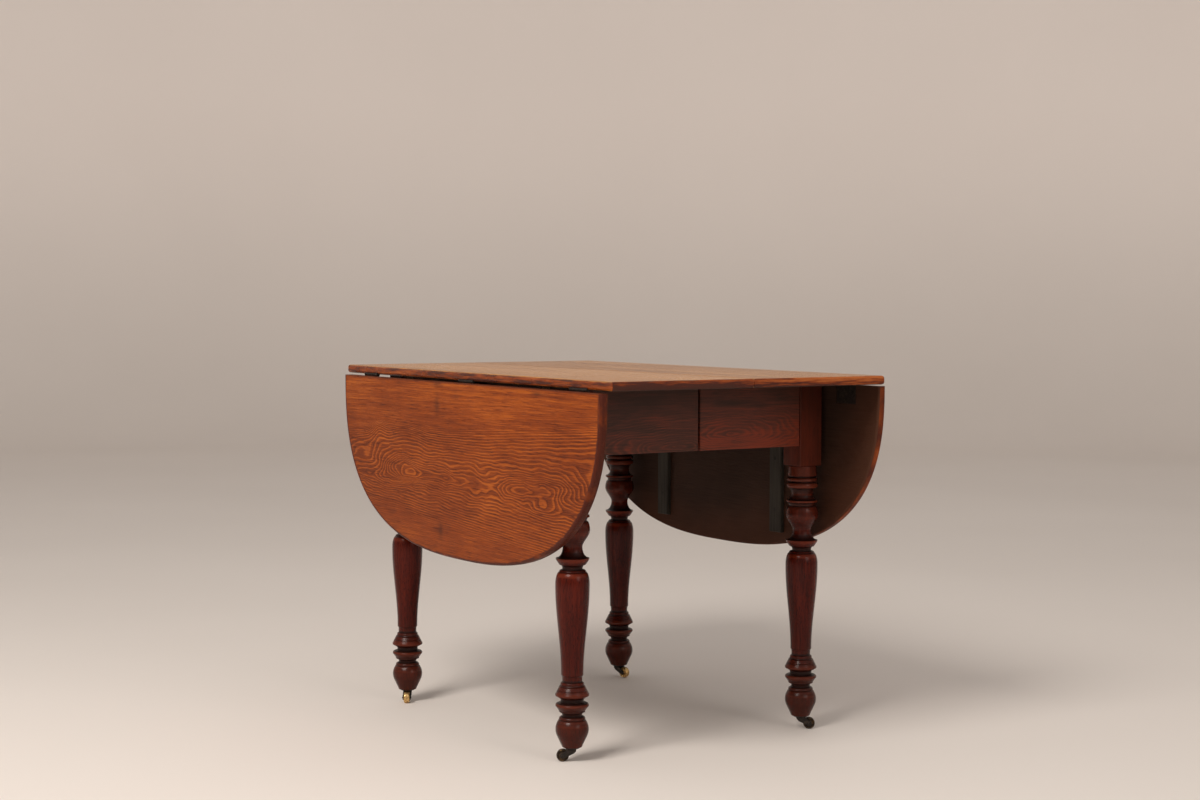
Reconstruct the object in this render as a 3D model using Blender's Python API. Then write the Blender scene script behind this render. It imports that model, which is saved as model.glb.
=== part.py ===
"""Drop-leaf extension table on turned legs with casters.

The closed top parts in the middle: each half carries two legs, and wooden slides let the right half
draw away along +X. A leaf hangs from the outer end of each half. Y runs along the hinge lines and Z
is up. The origin is on the floor under the middle of the closed table. Lengths are in metres.
"""
import math

import bmesh
import bpy
from mathutils import Matrix, Vector

# Top and leaves
TABLE_HEIGHT = 0.740
TOP_LENGTH = 0.648
TOP_WIDTH = 1.090
BOARD_THICKNESS = 0.018
EDGE_RADIUS = 0.005
SEAM_GAP = 0.0010
LEAF_DEPTH = 0.362
LEAF_END_MARGIN = 0.013
LEAF_FULLNESS = 2.62
LEAF_JOINT_GAP = 0.0005

# Leaf battens
BATTEN_TO_HINGE = 0.220
BATTEN_WIDTH = 0.039
BATTEN_THICKNESS = 0.010
BATTEN_START = 0.014
BATTEN_END_MARGIN = 0.0235
BATTEN_CHAMFER = 0.002

# Frame
END_OVERHANG = 0.016
SIDE_OVERHANG = 0.175
POST_SIDE = 0.056
POST_HEIGHT = 0.173
POST_CHAMFER = 0.0015
POST_ROOT = 0.0055
APRON_HEIGHT = 0.131
APRON_THICKNESS = 0.022
APRON_SETBACK = 0.004
APRON_SPLIT = 0.0055
TENON_LENGTH = 0.022
TENON_THICKNESS = 0.010
TENON_SHOULDER = 0.020
CORNER_BLOCK_REACH = 0.055
CORNER_BLOCK_HEIGHT = 0.070
CORNER_BLOCK_RISE = 0.012

# Hinges
HINGE_FROM_EDGE = 0.115
HINGE_LENGTH = 0.060
HINGE_PIN_INSET = 0.003
HINGE_PIN_DROP = 0.0005
HINGE_PIN_RADIUS = 0.0018
HINGE_PIN_OVERHANG = 0.0010
KNUCKLE_RADIUS = 0.0040
KNUCKLE_GAP = 0.0005
HINGE_PLATE = 0.0025
HINGE_TOP_REACH = 0.034
HINGE_LEAF_REACH = 0.042

# Extension slides, register pins and leaf supports
SLIDE_TO_GUIDE = 0.0425
SLIDE_WIDTH = 0.028
SLIDE_HEIGHT = 0.055
SLIDE_END_GAP = 0.018
SLIDE_RELIEF = 0.0010
TONGUE_DEPTH = 0.008
TONGUE_ROOT = 0.012
TONGUE_TIP = 0.017
PIN_FROM_EDGE = 0.225
PIN_RADIUS = 0.004
PIN_REACH = 0.018
LOPER_WIDTH = 0.030
LOPER_HEIGHT = 0.025
LOPER_TAIL_GAP = 0.030
LOPER_HEAD = 0.014
LOPER_HEAD_WING = 0.006
LOPER_GROOVE = 0.006
GUIDE_LENGTH = 0.032
GUIDE_WALL = 0.011
GUIDE_FLOOR = 0.008
GUIDE_TO_POST = 0.006

# Casters
CASTER_HEIGHT = 0.0275
WHEEL_RADIUS = 0.012
WHEEL_WIDTH = 0.012
WHEEL_CROWN = 0.0012
WHEEL_HUB = 0.0055
WHEEL_DISH = 0.0018
CASTER_TRAIL = 0.018
AXLE_RADIUS = 0.0020
AXLE_OVERHANG = 0.0010
FORK_CHEEK = 0.0025
FORK_EYE = 0.0052
FORK_BACK = 0.0080
FORK_CROWN = 0.0085
FORK_EYE_ARC = (100.0, -110.0)
WHEEL_CLEARANCE = 0.0012
PINTLE_RADIUS = 0.0040
PINTLE_LENGTH = 0.032
SOCKET_WALL = 0.0016
SOCKET_LENGTH = 0.036
SOCKET_FLANGE = 0.0145
SOCKET_PLATE = 0.0015

# Clearances
FIT = 0.0003
RUN = 0.0005

# Facets
LEG_SIDES = 14
ROUND_SIDES = 10
WHEEL_SIDES = 16
LEAF_POINTS = 34
EDGE_STEPS = 2
EYE_STEPS = 6
STRAIGHT_STEPS = 1
ROUND_STEPS = 2
OGEE_STEPS = 4
BALL_STEPS = 2
SMOOTH_ANGLE = 35.0

# Directions in which the four casters trail, in degrees about +Z
CASTER_TRAILS = {
    ("left", "back"): -123.0,
    ("left", "front"): 147.0,
    ("right", "back"): -78.0,
    ("right", "front"): -33.0,
}

# Turning of the leg, from the post down to the foot: name, curve, drop and radius at its lower end.
# The vase has no drop of its own: it takes up what the other elements leave.
LEG_TOP_RADIUS = 0.0272
LEG_TURNING = (
    ("plain ring", "straight", 0.0030, 0.0292),
    ("plain ring", "straight", 0.0180, 0.0300),
    ("quirk", "straight", 0.0030, 0.0264),
    ("upper bead", "radial", 0.0045, 0.0318),
    ("upper bead", "axial", 0.0045, 0.0282),
    ("lower bead", "radial", 0.0075, 0.0325),
    ("lower bead", "axial", 0.0065, 0.0280),
    ("cove", "radial", 0.0130, 0.0225),
    ("cove", "axial", 0.0120, 0.0325),
    ("collar", "straight", 0.0035, 0.0325),
    ("collar", "radial", 0.0075, 0.0272),
    ("bulb", "radial", 0.0180, 0.0335),
    ("bulb", "ogee", 0.0330, 0.0190),
    ("flare", "axial", 0.0205, 0.0325),
    ("flare", "straight", 0.0030, 0.0322),
    ("flare", "straight", 0.0095, 0.0256),
    ("flare", "radial", 0.0090, 0.0195),
    ("shoulder", "straight", 0.0040, 0.0260),
    ("shoulder", "radial", 0.0250, 0.0332),
    ("vase", "ogee", None, 0.0215),
    ("groove", "straight", 0.0060, 0.0195),
    ("neck", "straight", 0.0075, 0.0192),
    ("bell", "straight", 0.0030, 0.0224),
    ("bell", "straight", 0.0195, 0.0322),
    ("bell", "straight", 0.0040, 0.0328),
    ("bell", "straight", 0.0060, 0.0225),
    ("neck", "straight", 0.0070, 0.0220),
    ("ring", "straight", 0.0045, 0.0324),
    ("ring", "straight", 0.0025, 0.0322),
    ("ring", "straight", 0.0115, 0.0252),
    ("ring", "radial", 0.0080, 0.0190),
    ("bead", "radial", 0.0075, 0.0262),
    ("ball", "ball", 0.0180, 0.0322),
    ("ball", "ball", 0.0130, 0.0292),
    ("ball", "straight", 0.0190, 0.0202),
    ("foot", "straight", 0.0035, 0.0165),
)
CURVE_STEPS = {
    "straight": STRAIGHT_STEPS,
    "radial": ROUND_STEPS,
    "axial": ROUND_STEPS,
    "ogee": OGEE_STEPS,
    "ball": BALL_STEPS,
}
LONG_CURVE = 0.021

# Looks: colour, roughness and metallic value
LOOKS = {
    "oak_top": ((0.42, 0.20, 0.09, 1.0), 0.40, 0.0),
    "mahogany": ((0.10, 0.028, 0.018, 1.0), 0.30, 0.0),
    "apron_wood": ((0.13, 0.045, 0.028, 1.0), 0.45, 0.0),
    "batten_wood": ((0.16, 0.15, 0.11, 1.0), 0.75, 0.0),
    "plain_wood": ((0.33, 0.22, 0.12, 1.0), 0.70, 0.0),
    "iron": ((0.045, 0.040, 0.038, 1.0), 0.55, 0.8),
    "brass": ((0.55, 0.38, 0.14, 1.0), 0.35, 1.0),
}

# Levels and faces that the pieces share
UNDERSIDE = TABLE_HEIGHT - BOARD_THICKNESS
FRAME_TOP = UNDERSIDE - FIT
POST_BOTTOM = FRAME_TOP - POST_HEIGHT
APRON_BOTTOM = FRAME_TOP - APRON_HEIGHT
TOP_END = TOP_LENGTH / 2
TOP_EDGE = TOP_WIDTH / 2
POST_HALF = POST_SIDE / 2
LEG_X = TOP_END - END_OVERHANG - POST_HALF
LEG_Y = TOP_EDGE - SIDE_OVERHANG - POST_HALF
POST_INNER_X = LEG_X - POST_HALF
POST_INNER_Y = LEG_Y - POST_HALF
END_APRON_OUTER = LEG_X + POST_HALF - APRON_SETBACK
END_APRON_INNER = END_APRON_OUTER - APRON_THICKNESS
SIDE_APRON_OUTER = LEG_Y + POST_HALF - APRON_SETBACK
SIDE_APRON_INNER = SIDE_APRON_OUTER - APRON_THICKNESS
HINGE_X = TOP_END - HINGE_PIN_INSET
HINGE_Z = UNDERSIDE - HINGE_PIN_DROP
LEAF_START = HINGE_PIN_INSET + LEAF_JOINT_GAP
LEAF_EDGE = TOP_EDGE - LEAF_END_MARGIN
HINGE_Y = TOP_EDGE - HINGE_FROM_EDGE
HINGES = {"front": -HINGE_Y, "middle": 0.0, "back": HINGE_Y}
BATTEN_Y = HINGE_Y - BATTEN_TO_HINGE
LOPER_Y = POST_INNER_Y - GUIDE_TO_POST - GUIDE_WALL - RUN - LOPER_WIDTH / 2
GUIDE_INNER_Y = LOPER_Y - LOPER_WIDTH / 2 - RUN - GUIDE_WALL
SLIDE_STEP = SLIDE_WIDTH + RUN
SLIDE_Y = GUIDE_INNER_Y - SLIDE_TO_GUIDE - SLIDE_WIDTH / 2 - SLIDE_STEP
LOPER_TOP = UNDERSIDE - RUN
LOPER_BOTTOM = LOPER_TOP - LOPER_HEIGHT
SIDES = {"left": -1, "right": 1}
ROWS = {"front": -1, "back": 1}


def clear_scene():
    for item in list(bpy.data.objects):
        bpy.data.objects.remove(item, do_unlink=True)


def make_looks():
    looks = {}
    for name, (colour, roughness, metallic) in LOOKS.items():
        look = bpy.data.materials.new(name)
        look.use_nodes = True
        shader = look.node_tree.nodes["Principled BSDF"]
        shader.inputs["Base Color"].default_value = colour
        shader.inputs["Roughness"].default_value = roughness
        shader.inputs["Metallic"].default_value = metallic
        look.diffuse_color = colour
        looks[name] = look
    return looks


def pivot(name, parent=None, location=(0, 0, 0), turn_y=0.0, turn_z=0.0):
    """An empty that carries the pieces of one moving body, on that body's joint axis."""
    empty = bpy.data.objects.new(name, None)
    empty.empty_display_size = 0.03
    empty.parent = parent
    empty.location = location
    empty.rotation_euler = (0, turn_y, turn_z)
    bpy.context.scene.collection.objects.link(empty)
    return empty


def add(name, shape, look, body, smooth=False):
    """Turn a bmesh into a named object that hangs on a body's empty."""
    bmesh.ops.recalc_face_normals(shape, faces=shape.faces)
    if shape.calc_volume(signed=True) < 0:
        bmesh.ops.reverse_faces(shape, faces=shape.faces)
    mesh = bpy.data.meshes.new(name)
    shape.to_mesh(mesh)
    shape.free()
    if smooth:
        mesh.shade_smooth()
        mesh.set_sharp_from_angle(angle=math.radians(SMOOTH_ANGLE))
    mesh.materials.append(look)
    item = bpy.data.objects.new(name, mesh)
    item.parent = body
    bpy.context.scene.collection.objects.link(item)
    return item


def shape_by(item, tool_shape, operation):
    """Join a tool shape to an object, or cut it away, and keep the result as the object's mesh."""
    tool = add(item.name + "_tool", tool_shape, item.data.materials[0], item.parent)
    tool.location = item.location
    modifier = item.modifiers.new(operation.lower(), "BOOLEAN")
    modifier.operation = operation
    modifier.solver = "EXACT"
    modifier.object = tool
    bpy.context.view_layer.update()
    graph = bpy.context.evaluated_depsgraph_get()
    result = bpy.data.meshes.new_from_object(item.evaluated_get(graph))
    result.name = item.name
    item.modifiers.clear()
    item.data = result
    bpy.data.objects.remove(tool, do_unlink=True)


def box(shape, corner, opposite):
    """A box between two opposite corners, given in any order."""
    low = Vector(min(pair) for pair in zip(corner, opposite))
    high = Vector(max(pair) for pair in zip(corner, opposite))
    place = Matrix.Translation((low + high) / 2) @ Matrix.Diagonal((*(high - low), 1))
    return bmesh.ops.create_cube(shape, size=1, matrix=place)["verts"]


def prism(shape, outline, along):
    """A flat outline drawn out along a vector."""
    face = shape.faces.new([shape.verts.new(point) for point in outline])
    drawn = bmesh.ops.extrude_face_region(shape, geom=[face], use_keep_orig=True)["geom"]
    moved = [part for part in drawn if isinstance(part, bmesh.types.BMVert)]
    bmesh.ops.translate(shape, verts=moved, vec=along)
    return moved


def turned(shape, profile, sides, place=Matrix()):
    """Spin a profile of (radius, height) points about the Z axis, then put it in place."""
    verts = [shape.verts.new((radius, 0, height)) for radius, height in profile]
    edges = [shape.edges.new(pair) for pair in zip(verts, verts[1:])]
    bmesh.ops.spin(shape, geom=verts + edges, cent=(0, 0, 0), axis=(0, 0, 1),
                   angle=math.tau, steps=sides, use_merge=True)
    new = [vert for vert in shape.verts if not vert.tag]
    bmesh.ops.remove_doubles(shape, verts=new, dist=1e-6)
    for vert in shape.verts:
        if not vert.tag:
            vert.co = place @ vert.co
            vert.tag = True


def rod(shape, radius, start, end, sides=ROUND_SIDES):
    """A cylinder between two points."""
    start, end = Vector(start), Vector(end)
    turn = (end - start).to_track_quat("Z", "Y").to_matrix().to_4x4()
    place = Matrix.Translation((start + end) / 2) @ turn
    bmesh.ops.create_cone(shape, cap_ends=True, segments=sides, radius1=radius, radius2=radius,
                          depth=(end - start).length, matrix=place)


def bevel_edges(shape, wanted, width, steps):
    chosen = [edge for edge in shape.edges if wanted(edge)]
    bmesh.ops.bevel(shape, geom=chosen, offset=width, segments=steps, affect="EDGES", profile=0.5)


def curve_point(curve, upper, lower, share):
    """Radius, and share of the drop, at a share of the way along one element of a turning."""
    change = lower - upper
    quarter = share * math.pi / 2
    if curve == "radial":
        return upper + change * math.sin(quarter), 1 - math.cos(quarter)
    if curve == "axial":
        return upper + change * (1 - math.cos(quarter)), math.sin(quarter)
    if curve == "ogee":
        return upper + change * (1 - math.cos(math.pi * share)) / 2, share
    if curve == "ball":
        great = max(upper, lower)
        cap = math.acos(min(upper, lower) / great)
        if lower > upper:
            angle = cap * (1 - share)
            return great * math.cos(angle), 1 - math.sin(angle) / math.sin(cap)
        angle = cap * share
        return great * math.cos(angle), math.sin(angle) / math.sin(cap)
    return upper + change * share, share


def leg_profile():
    """The turned part of a leg with its caster bore, from inside the post down to the foot."""
    fixed = sum(drop for _, _, drop, _ in LEG_TURNING if drop is not None)
    spare = POST_BOTTOM - CASTER_HEIGHT - fixed
    root = POST_BOTTOM + POST_ROOT
    profile = [(0.0, root), (LEG_TOP_RADIUS, root), (LEG_TOP_RADIUS, POST_BOTTOM)]
    height, radius = POST_BOTTOM, LEG_TOP_RADIUS
    for _, curve, drop, lower in LEG_TURNING:
        drop = spare if drop is None else drop
        steps = CURVE_STEPS[curve]
        if curve in ("radial", "axial") and drop > LONG_CURVE:
            steps += 1
        for step in range(1, steps + 1):
            point, share = curve_point(curve, radius, lower, step / steps)
            profile.append((point, height - drop * share))
        height, radius = height - drop, lower
    bore = PINTLE_RADIUS + RUN + SOCKET_WALL + FIT
    bore_top = CASTER_HEIGHT + SOCKET_LENGTH + FIT
    return profile + [(bore, height), (bore, bore_top), (0.0, bore_top)]


def make_leg(name, body, look, side, row):
    shape = bmesh.new()
    box(shape, (-POST_HALF, -POST_HALF, POST_BOTTOM), (POST_HALF, POST_HALF, FRAME_TOP))
    bevel_edges(shape, lambda edge: min(vert.co.z for vert in edge.verts) < FRAME_TOP - POST_CHAMFER,
                POST_CHAMFER, 1)
    leg = add(name, shape, look, body)
    leg.location = (side * LEG_X, row * LEG_Y, 0)

    turning = bmesh.new()
    turned(turning, leg_profile(), LEG_SIDES)
    shape_by(leg, turning, "UNION")

    mortises = bmesh.new()
    depth = TENON_LENGTH + FIT
    half = TENON_THICKNESS / 2 + FIT
    low = APRON_BOTTOM + TENON_SHOULDER - FIT
    high = FRAME_TOP - TENON_SHOULDER + FIT
    middle = POST_HALF - APRON_SETBACK - APRON_THICKNESS / 2
    mouth = POST_HALF + FIT
    box(mortises, (-side * mouth, row * middle - half, low),
        (-side * (POST_HALF - depth), row * middle + half, high))
    box(mortises, (side * middle - half, -row * mouth, low),
        (side * middle + half, -row * (POST_HALF - depth), high))
    shape_by(leg, mortises, "DIFFERENCE")
    leg.data.shade_smooth()
    leg.data.set_sharp_from_angle(angle=math.radians(SMOOTH_ANGLE))


def make_top(name, body, look, side):
    shape = bmesh.new()
    box(shape, (side * SEAM_GAP / 2, -TOP_EDGE, UNDERSIDE), (side * TOP_END, TOP_EDGE, TABLE_HEIGHT))
    bevel_edges(shape, lambda edge: all(abs(vert.co.y) > TOP_EDGE - EDGE_RADIUS for vert in edge.verts)
                and abs(edge.verts[0].co.z - edge.verts[1].co.z) < EDGE_RADIUS, EDGE_RADIUS, EDGE_STEPS)
    top = add(name, shape, look, body)

    recess = bmesh.new()
    half = HINGE_LENGTH / 2
    for row in HINGES.values():
        box(recess, (side * (HINGE_X - HINGE_TOP_REACH - FIT), row - half - FIT, UNDERSIDE - EDGE_RADIUS),
            (side * (TOP_END + EDGE_RADIUS), row + half + FIT, UNDERSIDE + HINGE_PLATE + FIT))
    shape_by(top, recess, "DIFFERENCE")

    notches = bmesh.new()
    reach = half + HINGE_PIN_OVERHANG + RUN
    for row in HINGES.values():
        rod(notches, KNUCKLE_RADIUS + RUN, (side * HINGE_X, row - reach, HINGE_Z),
            (side * HINGE_X, row + reach, HINGE_Z))
    shape_by(top, notches, "DIFFERENCE")

    pins = bmesh.new()
    middle = TABLE_HEIGHT - BOARD_THICKNESS / 2
    spacing = TOP_EDGE - PIN_FROM_EDGE
    for row in (-spacing, 0.0, spacing):
        if side > 0:
            rod(pins, PIN_RADIUS, (-PIN_REACH, row, middle), (PIN_REACH, row, middle))
        else:
            rod(pins, PIN_RADIUS + RUN, (PIN_RADIUS, row, middle), (-PIN_REACH - RUN, row, middle))
    shape_by(top, pins, "UNION" if side > 0 else "DIFFERENCE")


def make_side_apron(name, body, look, side, row):
    shape = bmesh.new()
    box(shape, (side * APRON_SPLIT / 2, row * SIDE_APRON_INNER, APRON_BOTTOM),
        (side * (POST_INNER_X - FIT), row * SIDE_APRON_OUTER, FRAME_TOP))
    apron = add(name, shape, look, body)
    tenon = bmesh.new()
    middle = row * (SIDE_APRON_OUTER - APRON_THICKNESS / 2)
    half = TENON_THICKNESS / 2
    box(tenon, (side * (POST_INNER_X - half), middle - half, APRON_BOTTOM + TENON_SHOULDER),
        (side * (POST_INNER_X + TENON_LENGTH), middle + half, FRAME_TOP - TENON_SHOULDER))
    shape_by(apron, tenon, "UNION")


def make_end_apron(name, body, look, side):
    shape = bmesh.new()
    width = POST_INNER_Y - FIT
    box(shape, (side * END_APRON_INNER, -width, APRON_BOTTOM), (side * END_APRON_OUTER, width, FRAME_TOP))
    apron = add(name, shape, look, body)

    tenons = bmesh.new()
    middle = END_APRON_OUTER - APRON_THICKNESS / 2
    half = TENON_THICKNESS / 2
    for row in ROWS.values():
        box(tenons, (side * (middle - half), row * (POST_INNER_Y - half), APRON_BOTTOM + TENON_SHOULDER),
            (side * (middle + half), row * (POST_INNER_Y + TENON_LENGTH), FRAME_TOP - TENON_SHOULDER))
    shape_by(apron, tenons, "UNION")

    guides = bmesh.new()
    half = LOPER_WIDTH / 2 + RUN
    back = END_APRON_INNER - GUIDE_LENGTH
    for row in ROWS.values():
        box(guides, (side * back, row * LOPER_Y - half - GUIDE_WALL, LOPER_BOTTOM - RUN - GUIDE_FLOOR),
            (side * middle, row * LOPER_Y + half + GUIDE_WALL, FRAME_TOP - FIT))
    shape_by(apron, guides, "UNION")

    notches = bmesh.new()
    for row in ROWS.values():
        box(notches, (side * (back - half), row * LOPER_Y - half, LOPER_BOTTOM - RUN),
            (side * (END_APRON_OUTER + half), row * LOPER_Y + half, TABLE_HEIGHT))
    shape_by(apron, notches, "DIFFERENCE")


def make_corner_block(name, body, look, side, row):
    """A block glued into a corner of the frame and notched round the post."""
    base = APRON_BOTTOM + CORNER_BLOCK_RISE
    outline = (
        (POST_INNER_X - CORNER_BLOCK_REACH, SIDE_APRON_INNER - FIT),
        (POST_INNER_X - FIT, SIDE_APRON_INNER - FIT),
        (POST_INNER_X - FIT, POST_INNER_Y - FIT),
        (END_APRON_INNER - FIT, POST_INNER_Y - FIT),
        (END_APRON_INNER - FIT, POST_INNER_Y - CORNER_BLOCK_REACH),
    )
    shape = bmesh.new()
    prism(shape, [(side * x, row * y, base) for x, y in outline], (0, 0, CORNER_BLOCK_HEIGHT))
    add(name, shape, look, body)


def slide_section(middle, tongue_side):
    """Cross-section of a slide member: a bar with a dovetail tongue on one face, in (y, z)."""
    half = SLIDE_WIDTH / 2
    centre = FRAME_TOP - SLIDE_RELIEF - SLIDE_HEIGHT / 2
    low, high = centre - SLIDE_HEIGHT / 2, centre + SLIDE_HEIGHT / 2
    face, tip = tongue_side * half, tongue_side * (half + TONGUE_DEPTH)
    outline = ((-face, low), (face, low), (face, centre - TONGUE_ROOT / 2),
               (tip, centre - TONGUE_TIP / 2), (tip, centre + TONGUE_TIP / 2),
               (face, centre + TONGUE_ROOT / 2), (face, high), (-face, high))
    return [(middle + y, z) for y, z in outline]


def runner_section(middle):
    """Cross-section of the runner between two rails: a bar with a dovetail groove in each face."""
    half = SLIDE_WIDTH / 2
    centre = FRAME_TOP - SLIDE_RELIEF - SLIDE_HEIGHT / 2
    low, high = centre - SLIDE_HEIGHT / 2, centre + SLIDE_HEIGHT / 2
    bed = half - TONGUE_DEPTH
    root, tip = TONGUE_ROOT / 2 + RUN, TONGUE_TIP / 2 + RUN
    right = ((half, low), (half, centre - root), (bed, centre - tip), (bed, centre + tip),
             (half, centre + root), (half, high))
    left = [(-y, z) for y, z in reversed(right)]
    return [(middle + y, z) for y, z in (*right, *left)]


def make_slides(bodies, look):
    """Two sets of three members: a rail on each half and a runner that slides between them."""
    reach = END_APRON_INNER - SLIDE_END_GAP
    length = (2 * reach, 0, 0)
    half = SLIDE_WIDTH / 2
    for row_name, row in ROWS.items():
        for name, side in SIDES.items():
            middle = row * (SLIDE_Y - side * SLIDE_STEP)
            bar = bmesh.new()
            prism(bar, [(-reach, y, z) for y, z in slide_section(middle, row * side)], length)
            rail = add(f"{name}_{row_name}_slide_rail", bar, look, bodies[name + "_half"])
            pad = bmesh.new()
            box(pad, (side * APRON_SPLIT, middle - half + FIT, FRAME_TOP - SLIDE_RELIEF - RUN),
                (side * (reach - FIT), middle + half - FIT, FRAME_TOP))
            shape_by(rail, pad, "UNION")
        runner = bmesh.new()
        prism(runner, [(-reach, y, z) for y, z in runner_section(row * SLIDE_Y)], length)
        add(row_name + "_slide_runner", runner, look, bodies["slide_runners"])


def make_loper(name, body, look, side):
    """A sliding support for the leaf, drawn in the frame of its own slide."""
    half = LOPER_WIDTH / 2
    head = half + LOPER_HEAD_WING
    tail = LOPER_TAIL_GAP
    front = END_APRON_OUTER
    outline = ((tail, -head), (tail + LOPER_HEAD, -head), (tail + LOPER_HEAD, -half), (front, -half),
               (front, half), (tail + LOPER_HEAD, half), (tail + LOPER_HEAD, head), (tail, head))
    shape = bmesh.new()
    prism(shape, [(side * x, y, -LOPER_HEIGHT / 2) for x, y in outline], (0, 0, LOPER_HEIGHT))
    loper = add(name, shape, look, body)
    groove = bmesh.new()
    rod(groove, LOPER_GROOVE, (side * (front - LOPER_WIDTH), -LOPER_WIDTH, -LOPER_HEIGHT / 2),
        (side * (front - LOPER_WIDTH), LOPER_WIDTH, -LOPER_HEIGHT / 2))
    shape_by(loper, groove, "DIFFERENCE")


def knuckle_spans():
    """Where the three knuckles of a hinge lie along its pin: two on the top, one on the leaf."""
    third = HINGE_LENGTH / 3
    half = HINGE_LENGTH / 2
    gap = KNUCKLE_GAP / 2
    on_top = ((-half, -half + third - gap), (half - third + gap, half))
    on_leaf = ((-half + third + gap, half - third - gap),)
    return on_top, on_leaf


def make_hinge_plate(name, body, look, spans, side, reach, centre, level, pinned=False):
    """A plate with its knuckles, reaching from the pin along +X or -X. One of each pair holds the pin."""
    own, other = spans
    x, y, z = centre
    half = HINGE_LENGTH / 2
    clear = KNUCKLE_RADIUS + RUN
    plate = bmesh.new()
    box(plate, (x, y - half, level), (x + side * reach, y + half, level + HINGE_PLATE))
    hinge = add(name, plate, look, body)
    gaps = bmesh.new()
    for start, end in other:
        box(gaps, (x - side * clear, y + start - KNUCKLE_GAP, level - clear),
            (x + side * clear, y + end + KNUCKLE_GAP, level + clear))
    shape_by(hinge, gaps, "DIFFERENCE")
    knuckles = bmesh.new()
    for start, end in own:
        rod(knuckles, KNUCKLE_RADIUS, (x, y + start, z), (x, y + end, z))
    shape_by(hinge, knuckles, "UNION")
    pin = bmesh.new()
    if pinned:
        rod(pin, HINGE_PIN_RADIUS, (x, y - half - HINGE_PIN_OVERHANG, z),
            (x, y + half + HINGE_PIN_OVERHANG, z))
    else:
        rod(pin, HINGE_PIN_RADIUS + RUN, (x, y - HINGE_LENGTH, z), (x, y + HINGE_LENGTH, z))
    shape_by(hinge, pin, "UNION" if pinned else "DIFFERENCE")


def leaf_reach(offset):
    """Depth of the leaf from its joint edge, at a distance from its middle."""
    share = min(abs(offset) / LEAF_EDGE, 1.0)
    return LEAF_DEPTH * (1 - share ** LEAF_FULLNESS) ** (1 / LEAF_FULLNESS)


def make_leaf(name, body, look, side):
    """The leaf board as it lies when raised, in the frame of its hinge pin."""
    power = 2 / LEAF_FULLNESS
    outline = []
    for step in range(LEAF_POINTS + 1):
        angle = math.pi * step / LEAF_POINTS
        across = math.copysign(abs(math.cos(angle)) ** power, math.cos(angle))
        depth = abs(math.sin(angle)) ** power if 0 < step < LEAF_POINTS else 0.0
        outline.append((side * (LEAF_START + LEAF_DEPTH * depth), LEAF_EDGE * across, HINGE_PIN_DROP))
    shape = bmesh.new()
    prism(shape, outline, (0, 0, BOARD_THICKNESS))
    joint_edge = LEAF_START + FIT
    bevel_edges(shape, lambda edge: abs(edge.verts[0].co.z - edge.verts[1].co.z) < EDGE_RADIUS
                and max(abs(vert.co.x) for vert in edge.verts) > joint_edge, EDGE_RADIUS, EDGE_STEPS)
    leaf = add(name, shape, look, body)

    recess = bmesh.new()
    half = HINGE_LENGTH / 2
    for row in HINGES.values():
        box(recess, (0, row - half - FIT, -EDGE_RADIUS),
            (side * (HINGE_LEAF_REACH + FIT), row + half + FIT, HINGE_PIN_DROP + HINGE_PLATE + FIT))
    shape_by(leaf, recess, "DIFFERENCE")

    notches = bmesh.new()
    reach = half + HINGE_PIN_OVERHANG + RUN
    for row in HINGES.values():
        rod(notches, KNUCKLE_RADIUS + RUN, (0, row - reach, 0), (0, row + reach, 0))
    shape_by(leaf, notches, "DIFFERENCE")


def make_batten(name, body, look, side, row):
    """A cross batten under the leaf, short of its joint edge and of its curved edge."""
    half = BATTEN_WIDTH / 2
    length = leaf_reach(BATTEN_Y + half) - BATTEN_END_MARGIN
    top = HINGE_PIN_DROP - FIT
    middle = row * BATTEN_Y
    shape = bmesh.new()
    box(shape, (side * (LEAF_START + BATTEN_START), middle - half, top - BATTEN_THICKNESS),
        (side * (LEAF_START + length), middle + half, top))
    bevel_edges(shape, lambda edge: max(vert.co.z for vert in edge.verts) < top - BATTEN_THICKNESS / 2,
                BATTEN_CHAMFER, 1)
    add(name, shape, look, body)


def make_socket(name, body, look, side, row):
    """A flanged sleeve let into the foot, in which the caster turns."""
    shape = bmesh.new()
    bore = PINTLE_RADIUS + RUN
    wall = bore + SOCKET_WALL
    plate_top = CASTER_HEIGHT - FIT
    plate = plate_top - SOCKET_PLATE
    crown = CASTER_HEIGHT + SOCKET_LENGTH
    profile = ((bore, crown), (wall, crown), (wall, plate_top), (SOCKET_FLANGE, plate_top),
               (SOCKET_FLANGE, plate), (bore, plate), (bore, crown))
    turned(shape, profile, ROUND_SIDES, Matrix.Translation((side * LEG_X, row * LEG_Y, 0)))
    add(name, shape, look, body, smooth=True)


def fork_outline():
    """Side view of a caster fork in (x, z): crown over the pivot and a horn down to the axle."""
    top = CASTER_HEIGHT - FIT - SOCKET_PLATE - RUN
    eye_x, eye_z = CASTER_TRAIL, WHEEL_RADIUS
    start, end = (math.radians(angle) for angle in FORK_EYE_ARC)
    eye = []
    for step in range(EYE_STEPS + 1):
        angle = start + (end - start) * step / EYE_STEPS
        eye.append((eye_x + FORK_EYE * math.cos(angle), eye_z + FORK_EYE * math.sin(angle)))
    return [(-FORK_BACK, top), (FORK_BACK, top), *eye, (-FORK_BACK / 2, top - FORK_CROWN),
            (-FORK_BACK, top - FORK_CROWN / 2)]


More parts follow.
